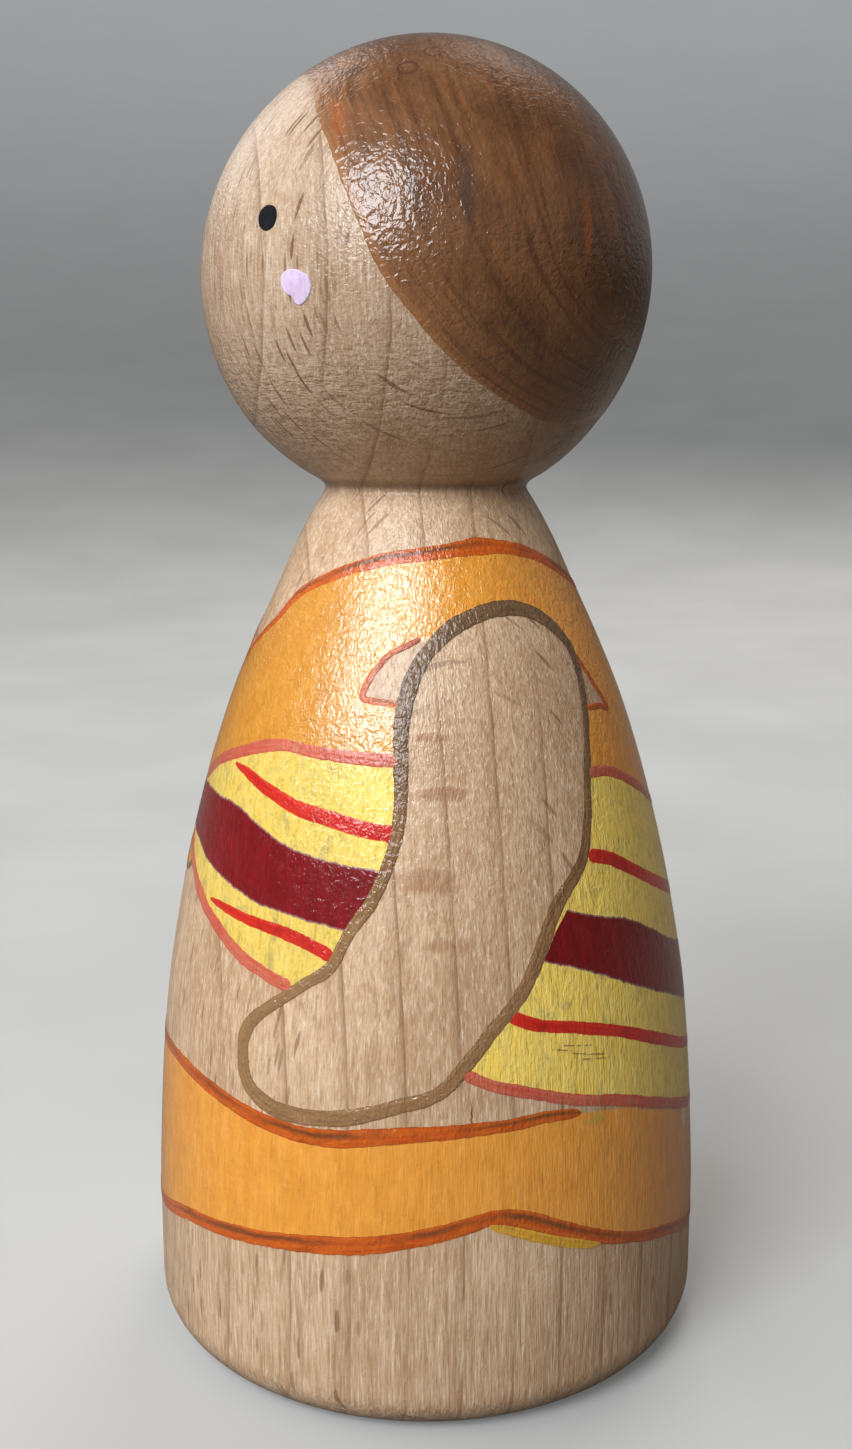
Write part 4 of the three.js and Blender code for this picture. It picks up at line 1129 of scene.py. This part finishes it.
THIN_BOTTOM_BACK = [
    [96.6, 28.45], [101.3, 27.73], [113.2, 26.79], [123.1, 25.8], [136.1, 24.0],
    [156.3, 21.3], [168, 20.4], [180, 20.1]]
HIP_TOP = [
    [0, 21.72], [4.1, 21.75], [18.4, 21.9], [32.5, 21.35], [42.2, 20.85], [50.3, 20.5],
    [57.2, 20.4], [65.3, 20.6], [70.7, 20.9], [85.2, 21.3], [96, 21.45], [103.7, 21.6],
    [111.4, 21.35]]
HIP_TOP_BACK = [
    [111.4, 21.35], [121.9, 20.7], [134.5, 19.2], [155, 16.6], [168, 15.7], [180, 15.4]]
HIP_BOTTOM = [
    [0, 9.55], [4, 9.6], [9, 9.95], [16, 10.6], [24.6, 11.4], [36.2, 12.04], [47, 12.6],
    [57.4, 13.1], [68, 13.56], [74.9, 14.03], [81.8, 14.53], [88.7, 15.15], [92.8, 15.4],
    [99.3, 14.94], [107.1, 13.76], [115.8, 12.4], [126.3, 11.1], [135.9, 10.1], [152, 8.3],
    [166, 7.6], [180, 7.4]]
UNDER_STREAK = [[91.8, 14.75], [96.0, 14.25], [103.0, 13.25], [109.5, 12.45], [115.5, 11.75]]
UNDER_STREAK_LIFT = 0.18
# the hairline from the side: y, z
HAIRLINE = [
    [-9.2, 88.6], [-8.55, 87.4], [-8.4, 86.35], [-8.3, 84.8], [-8.25, 83.35], [-7.9, 81.5],
    [-7.45, 79.9], [-6.5, 77.0], [-5.8, 75.2], [-5.0, 73.6], [-3.65, 71.75], [-1.7, 69.6],
    [0.83, 67.6], [3.1, 66.35], [5.4, 65.35], [7.6, 65.05], [11.1, 65.5], [13.2, 65.7]]
# outlines of the face's spots, in mm from their centre: right as seen, up
EYE_SHAPE = np.array([
    [-0.76, 0.02], [-0.66, 0.44], [-0.30, 0.72], [0.18, 0.76], [0.60, 0.55], [0.80, 0.10],
    [0.74, -0.38], [0.36, -0.72], [-0.16, -0.74], [-0.60, -0.44]])
CHEEK_SCALE = 0.92
CHEEK_SHAPE = CHEEK_SCALE * np.array([
    [-1.13, 0.82], [-0.62, 1.08], [-0.02, 1.12], [0.55, 0.90], [1.02, 0.62], [1.18, -0.08],
    [0.95, -0.66], [0.62, -0.98], [0.24, -1.18], [-0.16, -1.00], [-0.34, -0.68],
    [-0.88, -0.34], [-1.20, 0.20]])


# ---------------------------------------------------------------- the blank
def blank():
    around = 264
    base = [BASE_EDGE * (1 - math.cos(k / 10 * math.pi / 2)) for k in range(11)]
    body = np.arange(BASE_EDGE + 0.3, NECK_Z - FILLET - 0.1, 0.31)
    neck = np.linspace(NECK_Z - FILLET, NECK_Z + FILLET, 12)
    start = math.asin((NECK_Z + FILLET - HEAD_Z) / HEAD_HALF)
    head = [HEAD_Z + HEAD_HALF * math.sin(start + (math.pi / 2 - start) * k / 150)
            for k in range(1, 150)]
    z = np.concatenate([base, body, neck, head])
    # the tool's faint steps
    steps = 0.006 * wobble(z / 0.9, 41) * np.clip((z - 3) / 3, 0, 1)
    r = radius_at(z) + steps * np.clip((HEIGHT - z) / 2, 0, 1)
    underside = [[r0, 0.0] for r0 in (0.0001, 4.0, 8.0, 12.0, 15.0, 16.4)]
    profile = np.vstack([underside, np.stack([r, z], -1)])
    rings = len(profile)
    angle = np.radians(np.arange(around) * 360 / around)
    verts = np.stack([
        profile[:, :1] * np.sin(angle)[None],
        -profile[:, :1] * np.cos(angle)[None] + lean_at(profile[:, 1])[:, None],
        np.repeat(profile[:, 1:], around, 1)], -1).reshape(-1, 3)
    top = len(verts)
    verts = np.vstack([verts, [[0, lean_at(HEIGHT), HEIGHT]]])
    faces = ring_faces(rings, around)
    last = (rings - 1) * around
    faces += [(last + j, last + (j + 1) % around, top) for j in range(around)]
    faces.append(tuple(range(around))[::-1])
    mesh = bpy.data.meshes.new("turned_blank")
    mesh.from_pydata(((verts + ORIGIN) * MM).tolist(), [], faces)

    # bake map: the profile unrolled into a sheet
    length = np.concatenate([[0], np.cumsum(np.hypot(*np.diff(profile, axis=0).T))])
    v = length / (length[-1] + 0.6)
    uv = []
    for i in range(rings - 1):
        for j in range(around):
            u0, u1 = j / around, (j + 1) / around
            uv += [[u0, v[i]], [u1, v[i]], [u1, v[i + 1]], [u0, v[i + 1]]]
    for j in range(around):
        uv += [[j / around, v[-1]], [(j + 1) / around, v[-1]], [(j + 0.5) / around, 1.0]]
    uv += [[0.0005, 0.0005]] * around
    layer = mesh.uv_layers.new(name="OFBake")
    layer.data.foreach_set("uv", (np.array(uv, np.float32) * 0.996 + 0.002).ravel())
    mesh.materials.append(MATERIALS["beech"])
    mesh.shade_smooth()
    mesh.update()
    hand_over(place("turned_blank", mesh), "wood_blank")


blank()

# ---------------------------------------------------------------- hair
HEAD_ARC = 15.3                  # mm per radian over the head
POLE_RIM = 30                    # rim distance given to the pole
# the hairline's brush wobble in radians: amplitude, count, phase
HAIR_WAVES = [(0.003025, 7, 1), (0.0021175, 17, 2), (0.0015125, 41, 0),
              (0.00099, 97, 0), (0.00099, 143, 1)]


def hair():
    """A cap laid out round a pole at the back of the head, reaching to the hairline."""
    low, top = HAIR_COAT
    line = catmull([[y / DEGREE, z] for y, z in HAIRLINE]) * [DEGREE, 1]
    region = np.vstack([[line[0, 0] - 0.3, 95], line, [40, line[-1, 1]], [40, 95]])
    around = 520
    phi = np.arange(around) * 2 * np.pi / around
    theta = np.linspace(0.1, np.pi - 0.02, 900)
    reach = np.zeros(around)
    for k, angle in enumerate(phi):
        z = HEAD_Z + HEAD_HALF * np.sin(theta) * math.sin(angle)
        y = HEAD_RADIUS * np.cos(theta) + lean_at(z)
        outside = np.where(~inside(np.stack([y, z], -1), region))[0]
        reach[k] = theta[outside[0]] if len(outside) else theta[-1]
    kernel = np.array([1, 2, 3, 2, 1]) / 9
    reach = np.convolve(np.concatenate([reach[-2:], reach, reach[:2]]), kernel, "valid")
    reach = reach + waves(phi / (2 * np.pi), HAIR_WAVES)

    rho = np.concatenate([[0.004], np.linspace(0.0, 1, 84)[1:-1],
                          [1 - 0.14 / 30, 1 - 0.05 / 30, 1.0]])
    theta = rho[:, None] * reach[None]
    x = HEAD_RADIUS * np.sin(theta) * np.cos(phi)[None]
    y = HEAD_RADIUS * np.cos(theta)
    z = HEAD_Z + HEAD_HALF * np.sin(theta) * np.sin(phi)[None]
    normal = np.stack([x / HEAD_RADIUS**2, y / HEAD_RADIUS**2, (z - HEAD_Z) / HEAD_HALF**2], -1)
    normal /= np.linalg.norm(normal, axis=-1, keepdims=True)
    base = np.stack([x, y + lean_at(z), z], -1)
    rim = (1 - rho[:, None]) * reach[None] * HEAD_ARC
    lift = rounded_rim(rim, BAND_RIM, low, top)
    up = (base + normal * lift[..., None]).reshape(-1, 3)
    down = (base + normal * low).reshape(-1, 3)
    pole = np.array([0, HEAD_RADIUS + lean_at(HEAD_Z), HEAD_Z])
    verts = np.vstack([up, down, [pole + [0, top, 0]], [pole + [0, low, 0]]])

    under = len(up)
    pole_up, pole_down = 2 * under, 2 * under + 1
    pairs = [(j, (j + 1) % around) for j in range(around)]
    faces = []
    for a in range(0, under - around, around):
        b = a + around
        for j, k in pairs:
            faces.append((a + k, b + k, b + j, a + j))
            faces.append((under + b + j, under + b + k, under + a + k, under + a + j))
    last = under - around
    for j, k in pairs:
        faces.append((k, j, pole_up))
        faces.append((under + j, under + k, pole_down))
        faces.append((last + k, under + last + k, under + last + j, last + j))

    # bake map: a large disc for the upper face and a small one for the lower
    disc = np.stack([(rho[:, None] * wave(phi)[None]).ravel() for wave in (np.cos, np.sin)], -1)
    bake = np.vstack([disc * [0.36, 0.48] + [0.38, 0.5], disc * [0.10, 0.10] + [0.88, 0.12],
                      [[0.38, 0.5]], [[0.88, 0.12]]])
    along = np.abs(phi[None] - np.pi) * HEAD_ARC * 0.8 + 0 * rim
    brush = np.stack([along.ravel(), rim.ravel()], -1)
    painted("hair_coat", "hair_paint", "hair_brown", verts, faces,
            np.concatenate([rim.ravel(), rim.ravel(), [POLE_RIM] * 2]),
            np.vstack([brush, brush, [[0, POLE_RIM]] * 2]), bake)


hair()


# ---------------------------------------------------------------- face
def spot(name, node, slot, at, shape, layer, sign, spacing, seed):
    """A dab of paint centred on a longitude and height, mirrored where sign is -1."""
    r, radial = float(radius_at(at[1])), float(normal_at(at[1])[0])
    if sign < 0:
        shape = (shape * [-1, 1])[::-1]
    points = [[sign * at[0] + math.degrees(x / r), at[1] + y * radial] for x, y in shape]
    curve, s, _ = resampled(catmull(points, True), 0.05, True)
    curve = shifted(curve, 0.018 * wobble(s / 0.35, seed), True)
    film(name, node, slot, [(np.vstack([curve, curve[:1]]), True)], layer,
         spacing=spacing, bead=0.05, seed=seed, relief=0.006)


for side, sign in (("left", 1), ("right", -1)):
    spot(f"eye_{side}_dot", f"eye_{side}", "eye_black", (39.6, 77.37), EYE_SHAPE, EYE,
         sign, spacing=0.16, seed=5 + sign)
    spot(f"cheek_{side}_dab", f"cheek_{side}", "cheek_pink", (49.0, 73.21), CHEEK_SHAPE, CHEEK,
         sign, spacing=0.20, seed=15 + sign)

# ---------------------------------------------------------------- the orange top
SEAM_FRONT, SEAM_BACK = 80.0, 134.0          # longitudes where the panels and sleeves meet
SHOULDER_FRONT, SHOULDER_BACK = [SEAM_FRONT, 51.2], [SEAM_BACK, 50.0]
CUFF_FRONT, CUFF_BACK = [74.2, 47.6], [130.1, 46.5]     # where the cuffs reach the arm
wrap_top_front = cut_line(WRAP_TOP_FRONT, 0.0, 73.8)
wrap_top_back = [[124.7, 42.6]] + WRAP_TOP_BACK[1:]

neck_front = cut_line(NECKLINE, 0.0, SEAM_FRONT)
film("top_front_coat", "top_front_paint", "orange", symmetric([
    (neck_front, FREE),
    ([neck_front[-1], SHOULDER_FRONT], JOIN),
    ([SHOULDER_FRONT, [78.2, 51.55], [72, 50.95], [67.2, 50.24], [64.2, 49.2], [61.9, 47.95]],
     STEADY),
    ([[61.9, 47.95], [65.2, 47.72], [70, 47.6], CUFF_FRONT], STEADY),
    ([CUFF_FRONT, ARM_BEFORE_SLEEVE[0], ARM_BEFORE[-1]], STEADY),
    (flip(wrap_top_front), FREE)], seed=3), relief=0.004)

for (side, mirror), seed in zip(SIDES.items(), (13, 15)):
    lower = mirror([SHOULDER_FRONT] + ARM_SHOULDER + [SHOULDER_BACK])
    upper = mirror(flip(cut_line(NECKLINE, SEAM_FRONT, SEAM_BACK)))
    film(f"sleeve_{side}_coat", f"sleeve_{side}_paint", "orange", outlined([
        (lower, FREE), ([lower[-1], upper[0]], JOIN),
        (upper, FREE), ([upper[-1], lower[0]], JOIN)], seed), relief=0.004)

neck_back = cut_line(NECKLINE, SEAM_BACK, 180.0)
film("top_back_coat", "top_back_paint", "orange", symmetric([
    (flip(wrap_top_back), FREE),
    ([wrap_top_back[0], ARM_BEHIND_SLEEVE[2], CUFF_BACK], STEADY),
    ([CUFF_BACK, [134.0, 46.45], [138.0, 46.4], [142.6, 46.1]], STEADY),
    (flip(SLEEVE_BACK[:4]) + [SHOULDER_BACK], STEADY),
    ([SHOULDER_BACK, neck_back[0]], JOIN),
    (neck_back, FREE)], seed=21, mirror=far_side), relief=0.004)

# the hem of the top under the wrap, in the middle of the front
film("top_hem_coat", "top_hem_paint", "orange", outlined([
    ([[-7.5, 35.4], [-3.6, 34.5], [0, 34.1], [3.6, 34.4], [7.5, 35.3]], FREE),
    ([[7.5, 35.3], [3.4, 35.9], [0, 36.4], [-3.4, 36.0], [-7.5, 35.4]], FREE)], seed=31),
    spacing=0.35)

# ---------------------------------------------------------------- the wrap
film("wrap_front_coat", "wrap_front_paint", "yellow", symmetric([
    (wrap_top_front, FREE),
    (flip(ARM_BEFORE) + [WRAP_BOTTOM_FRONT[-1]], BY_ARM),
    (flip(WRAP_BOTTOM_FRONT), TOOTHED)], seed=41), relief=0.005)
film("wrap_back_coat", "wrap_back_paint", "yellow", symmetric([
    (flip(WRAP_BOTTOM_BACK), FREE),
    ([WRAP_BOTTOM_BACK[0]] + flip(ARM_BEHIND) + [wrap_top_back[0]], BY_ARM),
    (wrap_top_back, FREE)], seed=47, mirror=far_side), relief=0.005)


def broad_stripe(name, low, high, top_hand, end_tip, start_tip, seed):
    """A dark stripe between two lines; the tips are the middles of its ends."""
    high = flip(high)
    film(f"{name}_coat", name, "dark_red", outlined([
        (low, STRIPE_EDGE), ([low[-1], end_tip, high[0]], JOIN),
        (high, top_hand), ([high[-1], start_tip, low[0]], JOIN)], seed),
        BROAD_STRIPE, spacing=0.5, relief=0.004)


broad_stripe("broad_stripe_front", across_front(BROAD_BOTTOM_FRONT),
             across_front(BROAD_TOP_FRONT), STRIPE_TOP, [68.5, 35.7], [-68.5, 35.7], seed=53)
broad_stripe("broad_stripe_back", across_back(BROAD_BOTTOM_BACK),
             across_back(BROAD_TOP_BACK), STRIPE_EDGE, [360 - 108.2, 33.2], [108.2, 33.2],
             seed=55)

# narrow red stripes
UPPER_SWELLS = {"left": [(0, 0.55), (0.25, 0.8), (0.6, 1.0), (1, 1.05)],
                "right": [(0, 1.05), (0.4, 1.0), (0.75, 0.8), (1, 0.55)]}
LOWER_SWELLS = {"left": [(0, 0.6), (0.3, 0.85), (0.7, 1.05), (1, 1.1)],
                "right": [(0, 1.1), (0.3, 1.05), (0.7, 0.85), (1, 0.6)]}
# name, front line, back line, widths left, right and back, swells,
# tip in front, tip by the arm, tips of the back stripe, first seed
THIN_STRIPES = [
    ("upper", THIN_TOP_FRONT, THIN_TOP_BACK, (1.02, 0.92, 0.92), UPPER_SWELLS, 3.0, 0.3, 0.4, 61),
    ("lower", THIN_BOTTOM_FRONT, THIN_BOTTOM_BACK, (0.78, 0.78, 0.80), LOWER_SWELLS,
     2.5, 0.6, 0.5, 64)]
for level, front, back, widths, swells, inner_tip, arm_tip, back_tip, seed in THIN_STRIPES:
    for k, (side, mirror) in enumerate(SIDES.items()):
        tips = (inner_tip, arm_tip) if side == "left" else (arm_tip, inner_tip)
        name = f"{level}_stripe_front_{side}"
        stroke(f"{name}_line", name, "bright_red", mirror(front), widths[k], seed + k,
               THIN_STRIPE, ends=tips, swell=swells[side])
    name = f"{level}_stripe_back"
    stroke(f"{name}_line", name, "bright_red", across_back(back), widths[2], seed + 2,
           THIN_STRIPE, ends=(back_tip, back_tip))

# pink lines round the wrap: level, place, path, width, seed, tips, slow and fine wobble
for level, where, path, width, seed, tip, slow, fine in (
        ("upper", "front", across_front(WRAP_TOP_FRONT), 0.80, 67, 0.2, 0.16, 0.05),
        ("upper", "back", across_back(WRAP_TOP_BACK), 0.72, 68, 0.2, 0.16, 0.05),
        ("lower", "front", across_front(WRAP_BOTTOM_FRONT), 0.80, 69, 0.6, 0.2, 0.08),
        ("lower", "back", across_back(WRAP_BOTTOM_BACK), 0.72, 70, 0.4, 0.16, 0.05)):
    stroke(f"wrap_{level}_{where}_line", f"wrap_{level}_outline_{where}", "pink_outline",
           path, width, seed, ends=(tip, tip), slow=slow, fine=fine)

# ---------------------------------------------------------------- the hip band
# wobble of its edges in mm: amplitude, count, phase
HIP_LOW_WAVES = [(0.05, 19, 0), (0.04, 43, 1), (0.02, 101, 0)]
HIP_HIGH_WAVES = [(0.05, 23, 2), (0.04, 47, 0), (0.02, 97, 0)]


def hip_band():
    """A closed ring of orange round the hips."""
    around = 760
    longitude = np.arange(around) * 360.0 / around - 180.0

    def limit(points, table):
        left, right = catmull(points), catmull(mirrored(points))
        z = np.where(longitude >= 0, np.interp(longitude, left[:, 0], left[:, 1]),
                     np.interp(longitude, right[:, 0], right[:, 1]))
        return (z + waves(longitude / 360, table))[:, None]

    low = limit(HIP_BOTTOM, HIP_LOW_WAVES)
    high = limit(HIP_TOP[:-1] + HIP_TOP_BACK, HIP_HIGH_WAVES)
    t = np.concatenate([[0, 0.010], np.linspace(0, 1, 26)[1:-1], [0.990, 1]])
    rows = len(t)
    z = low + (high - low) * t[None]
    rim = np.minimum(z - low, high - z)
    spread = np.repeat(longitude[:, None], rows, 1)
    up = on_doll(spread, z, rounded_rim(rim, BAND_RIM, *COAT)).reshape(-1, 3)
    down = on_doll(spread, z, COAT[0]).reshape(-1, 3)
    # the bake map folds the ring into four rows, upper face over lower face
    u = (np.arange(around) / around)[:, None] + 0 * z
    row = np.floor(u * 4)
    bake_u = (u * 4 - row) * 0.97 + 0.015
    bake = [np.stack([bake_u, (row + start + size * t[None]) / 4], -1).reshape(-1, 2)
            for start, size in ((0.05, 0.8), (0.88, 0.08))]
    uv = np.stack([np.radians(spread) * 19.6, z], -1).reshape(-1, 2)
    painted("hip_band_coat", "hip_band_paint", "orange", np.vstack([up, down]),
            strip_faces(up, around, rows, True), np.tile(rim.ravel(), 2),
            np.vstack([uv, uv]), np.vstack(bake))


hip_band()
stroke("hip_upper_line", "hip_upper_outline", "orange_outline", across_front(HIP_TOP),
       width=0.95, seed=71, ends=(1.2, 1.2),
       swell=[(0, 0.7), (0.08, 0.85), (0.2, 1.15), (0.35, 0.95), (0.5, 0.8), (0.65, 0.95),
              (0.8, 1.2), (0.92, 0.85), (1, 0.7)])
hip_low = [[0.2, 9.55]] + HIP_BOTTOM[1:-1] + [[179.8, 7.4]]
stroke("hip_lower_left_line", "hip_lower_outline_left", "orange_outline", hip_low,
       width=0.98, seed=72,
       swell=[(0, 0.85), (0.2, 1.0), (0.34, 1.2), (0.44, 1.1), (0.50, 0.95), (0.54, 1.25),
              (0.60, 1.05), (0.68, 0.8), (0.8, 0.85), (1, 0.9)])
stroke("hip_lower_right_line", "hip_lower_outline_right", "orange_outline", mirrored(hip_low),
       width=0.95, seed=73)
for side, mirror in SIDES.items():
    path = [[longitude, z + UNDER_STREAK_LIFT] for longitude, z in mirror(UNDER_STREAK)]
    stroke(f"hip_under_{side}_line", f"hip_under_streak_{side}", "amber", path,
           width=0.66, seed=74, layer=STREAK, ends=(1.4, 2.0))

# ---------------------------------------------------------------- lines of the top and the arms
stroke("neckline_left_line", "neckline_outline_left", "orange_outline", NECKLINE,
       width=0.92, seed=75,
       swell=[(0, 0.42), (0.08, 0.5), (0.22, 0.72), (0.40, 0.92), (0.55, 1.05), (0.60, 1.35),
              (0.64, 1.0), (0.75, 0.9), (1, 0.8)])
stroke("neckline_right_line", "neckline_outline_right", "orange_outline", mirrored(NECKLINE),
       width=0.92, seed=76,
       swell=[(0, 0.8), (0.3, 1.0), (0.55, 1.0), (0.75, 0.8), (0.92, 0.55), (1, 0.45)])
for side, mirror in SIDES.items():
    stroke(f"sleeve_front_{side}_line", f"sleeve_edge_front_{side}", "orange_outline",
           mirror(SLEEVE_FRONT), width=0.36, seed=77)
    stroke(f"sleeve_back_{side}_line", f"sleeve_edge_back_{side}", "orange_outline",
           mirror(SLEEVE_BACK), width=0.36, seed=78)
    stroke(f"arm_{side}_line", f"arm_outline_{side}", "brown_outline", mirror(ARM),
           width=0.95, seed=79, layer=ARM_LINE, closed=True, slow=0.14,
           swell=[(0, 1.10), (0.05, 1.20), (0.09, 1.10), (0.14, 0.75), (0.20, 0.62),
                  (0.27, 0.80), (0.34, 1.0), (0.5, 1.0), (0.6, 1.25), (0.66, 1.1),
                  (0.72, 0.75), (0.8, 0.85), (0.9, 0.95), (0.96, 1.1), (1, 1.10)])
stroke("top_hem_line", "top_hem_outline", "brown_outline",
       across_front([[0, 34.05], [3.5, 34.3], [7.2, 35.0]]), width=0.42, seed=80, ends=(0.6, 0.6))


# ---------------------------------------------------------------- studio, in metres
FLOOR_FLAT = 0.36                # radius of the flat part
FLOOR_RISE = 1.35                # radius of the sweep round it
FLOOR_GAP = 0.00002              # the floor lies this far under the doll


def floor_material():
    material, t = new_material("pale_floor")
    p = t.millimetres()
    cloud = t.noise(p, scale=0.02, rough=0.5)
    col = t.mix(t.ramp(cloud, 0.3, 0.7), (0.37, 0.365, 0.35), (0.41, 0.405, 0.39))
    ray = t.add("ShaderNodeLightPath").outputs
    # the bounce off it is kept low
    col = t.mix(ray["Is Camera Ray"], (0.15, 0.135, 0.12), col)
    shader = surface(t, col, 0.85, t.times(t.noise(p, scale=1.2), 0.01), coat=0.0)
    # a glow that rises with height, for the camera and for reflections
    seen = t.times(ray["Is Camera Ray"],
                   t.ramp(t.split(p)[2], -20.0, 420.0, low=0.10, high=0.31))
    reflected = t.times(ray["Is Glossy Ray"], t.ramp(t.split(p)[2], 20.0, 300.0, high=0.17))
    t.put(shader, "Emission Color", (0.93, 0.97, 1.0))
    t.put(shader, "Emission Strength", t.plus(seen, reflected))
    return material


def floor():
    """A round floor that sweeps up into a wall."""
    around = 96
    rings = [(0.0004 + FLOOR_FLAT * (k / 23) ** 2, 0.0) for k in range(24)]
    for k in range(1, 61):
        a = k / 60 * math.pi / 2 * 0.97
        rings.append((FLOOR_FLAT + FLOOR_RISE * math.sin(a), FLOOR_RISE * (1 - math.cos(a))))
    angles = [2 * math.pi * j / around for j in range(around)]
    verts = [(r * math.cos(a), r * math.sin(a), cad_lo.z + z - FLOOR_GAP)
             for r, z in rings for a in angles]
    material = floor_material()
    mesh = bpy.data.meshes.new("floor")
    mesh.from_pydata(verts, [], ring_faces(len(rings), around))
    mesh.materials.append(material)
    mesh.shade_smooth()
    place("floor", mesh)


def toward(longitude, elevation):
    """Direction from the doll, in degrees."""
    a, e = math.radians(longitude), math.radians(elevation)
    return Vector((math.sin(a) * math.cos(e), -math.cos(a) * math.cos(e), math.sin(e)))


floor()

# the camera: on the doll's left, a little from the front and from above; mm and degrees
CAMERA_LONGITUDE = 80.0
CAMERA_DISTANCE = 112.0
CAMERA_HEIGHT = 66.42
CAMERA_PITCH = math.degrees(0.2008)


def camera():
    data = bpy.data.cameras.new("camera")
    ob = place("camera", data)
    a = math.radians(CAMERA_LONGITUDE)
    at = np.array([CAMERA_DISTANCE * math.sin(a), -CAMERA_DISTANCE * math.cos(a), CAMERA_HEIGHT])
    ob.location = Vector(((at + ORIGIN) * MM).tolist())
    ob.rotation_mode = "QUATERNION"
    ob.rotation_quaternion = (-toward(CAMERA_LONGITUDE, CAMERA_PITCH)).to_track_quat("-Z", "Y")
    data.sensor_fit = "AUTO"
    data.sensor_width = 36.0
    data.lens = 39.40795
    data.clip_start, data.clip_end = 0.005, 20.0
    bpy.context.scene.camera = ob


camera()

LIGHT_TARGET = Vector((0, 0, 0.052))
NEUTRAL = (1.0, 0.98, 0.95)
# name, longitude, elevation, distance, width, height (None: square), radiance, colour,
# seen in reflections
LIGHTS = [
    ("window", 49, 35, 0.50, 0.25, 0.26, 14.6, (0.92, 0.96, 1.0), True),
    ("soft_left", 4, 42, 0.62, 0.55, None, 2.5, (0.95, 0.975, 1.0), False),
    ("warm_side", 146, 20, 0.60, 0.30, None, 0.70, (1.0, 0.80, 0.55), False),
    ("behind_right", 236, 38, 0.55, 0.34, None, 5.0, NEUTRAL, False),
    ("behind_sheen", 238, 50, 0.58, 0.20, None, 0.60, NEUTRAL, True),
    ("behind_left", 300, 36, 0.55, 0.34, None, 1.3, NEUTRAL, True)]

for name, longitude, elevation, distance, width, height, radiance, colour, glossy in LIGHTS:
    direction = toward(longitude, elevation).normalized()
    light = bpy.data.lights.new(name, "AREA")
    light.shape = "RECTANGLE" if height else "SQUARE"
    light.size = width
    if height:
        light.size_y = height
    light.energy = radiance * math.pi * width * (height or width)
    light.color = colour
    lamp = place(name, light)
    lamp.location = LIGHT_TARGET + direction * distance
    lamp.rotation_mode = "QUATERNION"
    lamp.rotation_quaternion = (-direction).to_track_quat("-Z", "Y")
    lamp.visible_camera = False
    lamp.visible_glossy = glossy

scene = bpy.context.scene
world = bpy.data.worlds.new("room")
world.use_nodes = True
background = world.node_tree.nodes["Background"]
background.inputs["Color"].default_value = (0.95, 0.93, 0.90, 1)
background.inputs["Strength"].default_value = 0.085
scene.world = world

scene.view_settings.view_transform = "Standard"
scene.view_settings.look = "None"
scene.view_settings.exposure = 0.0
scene.view_settings.gamma = 1.0
scene.cycles.use_denoising = True
scene.cycles.max_bounces = 4
scene.cycles.diffuse_bounces = 2
scene.cycles.glossy_bounces = 2
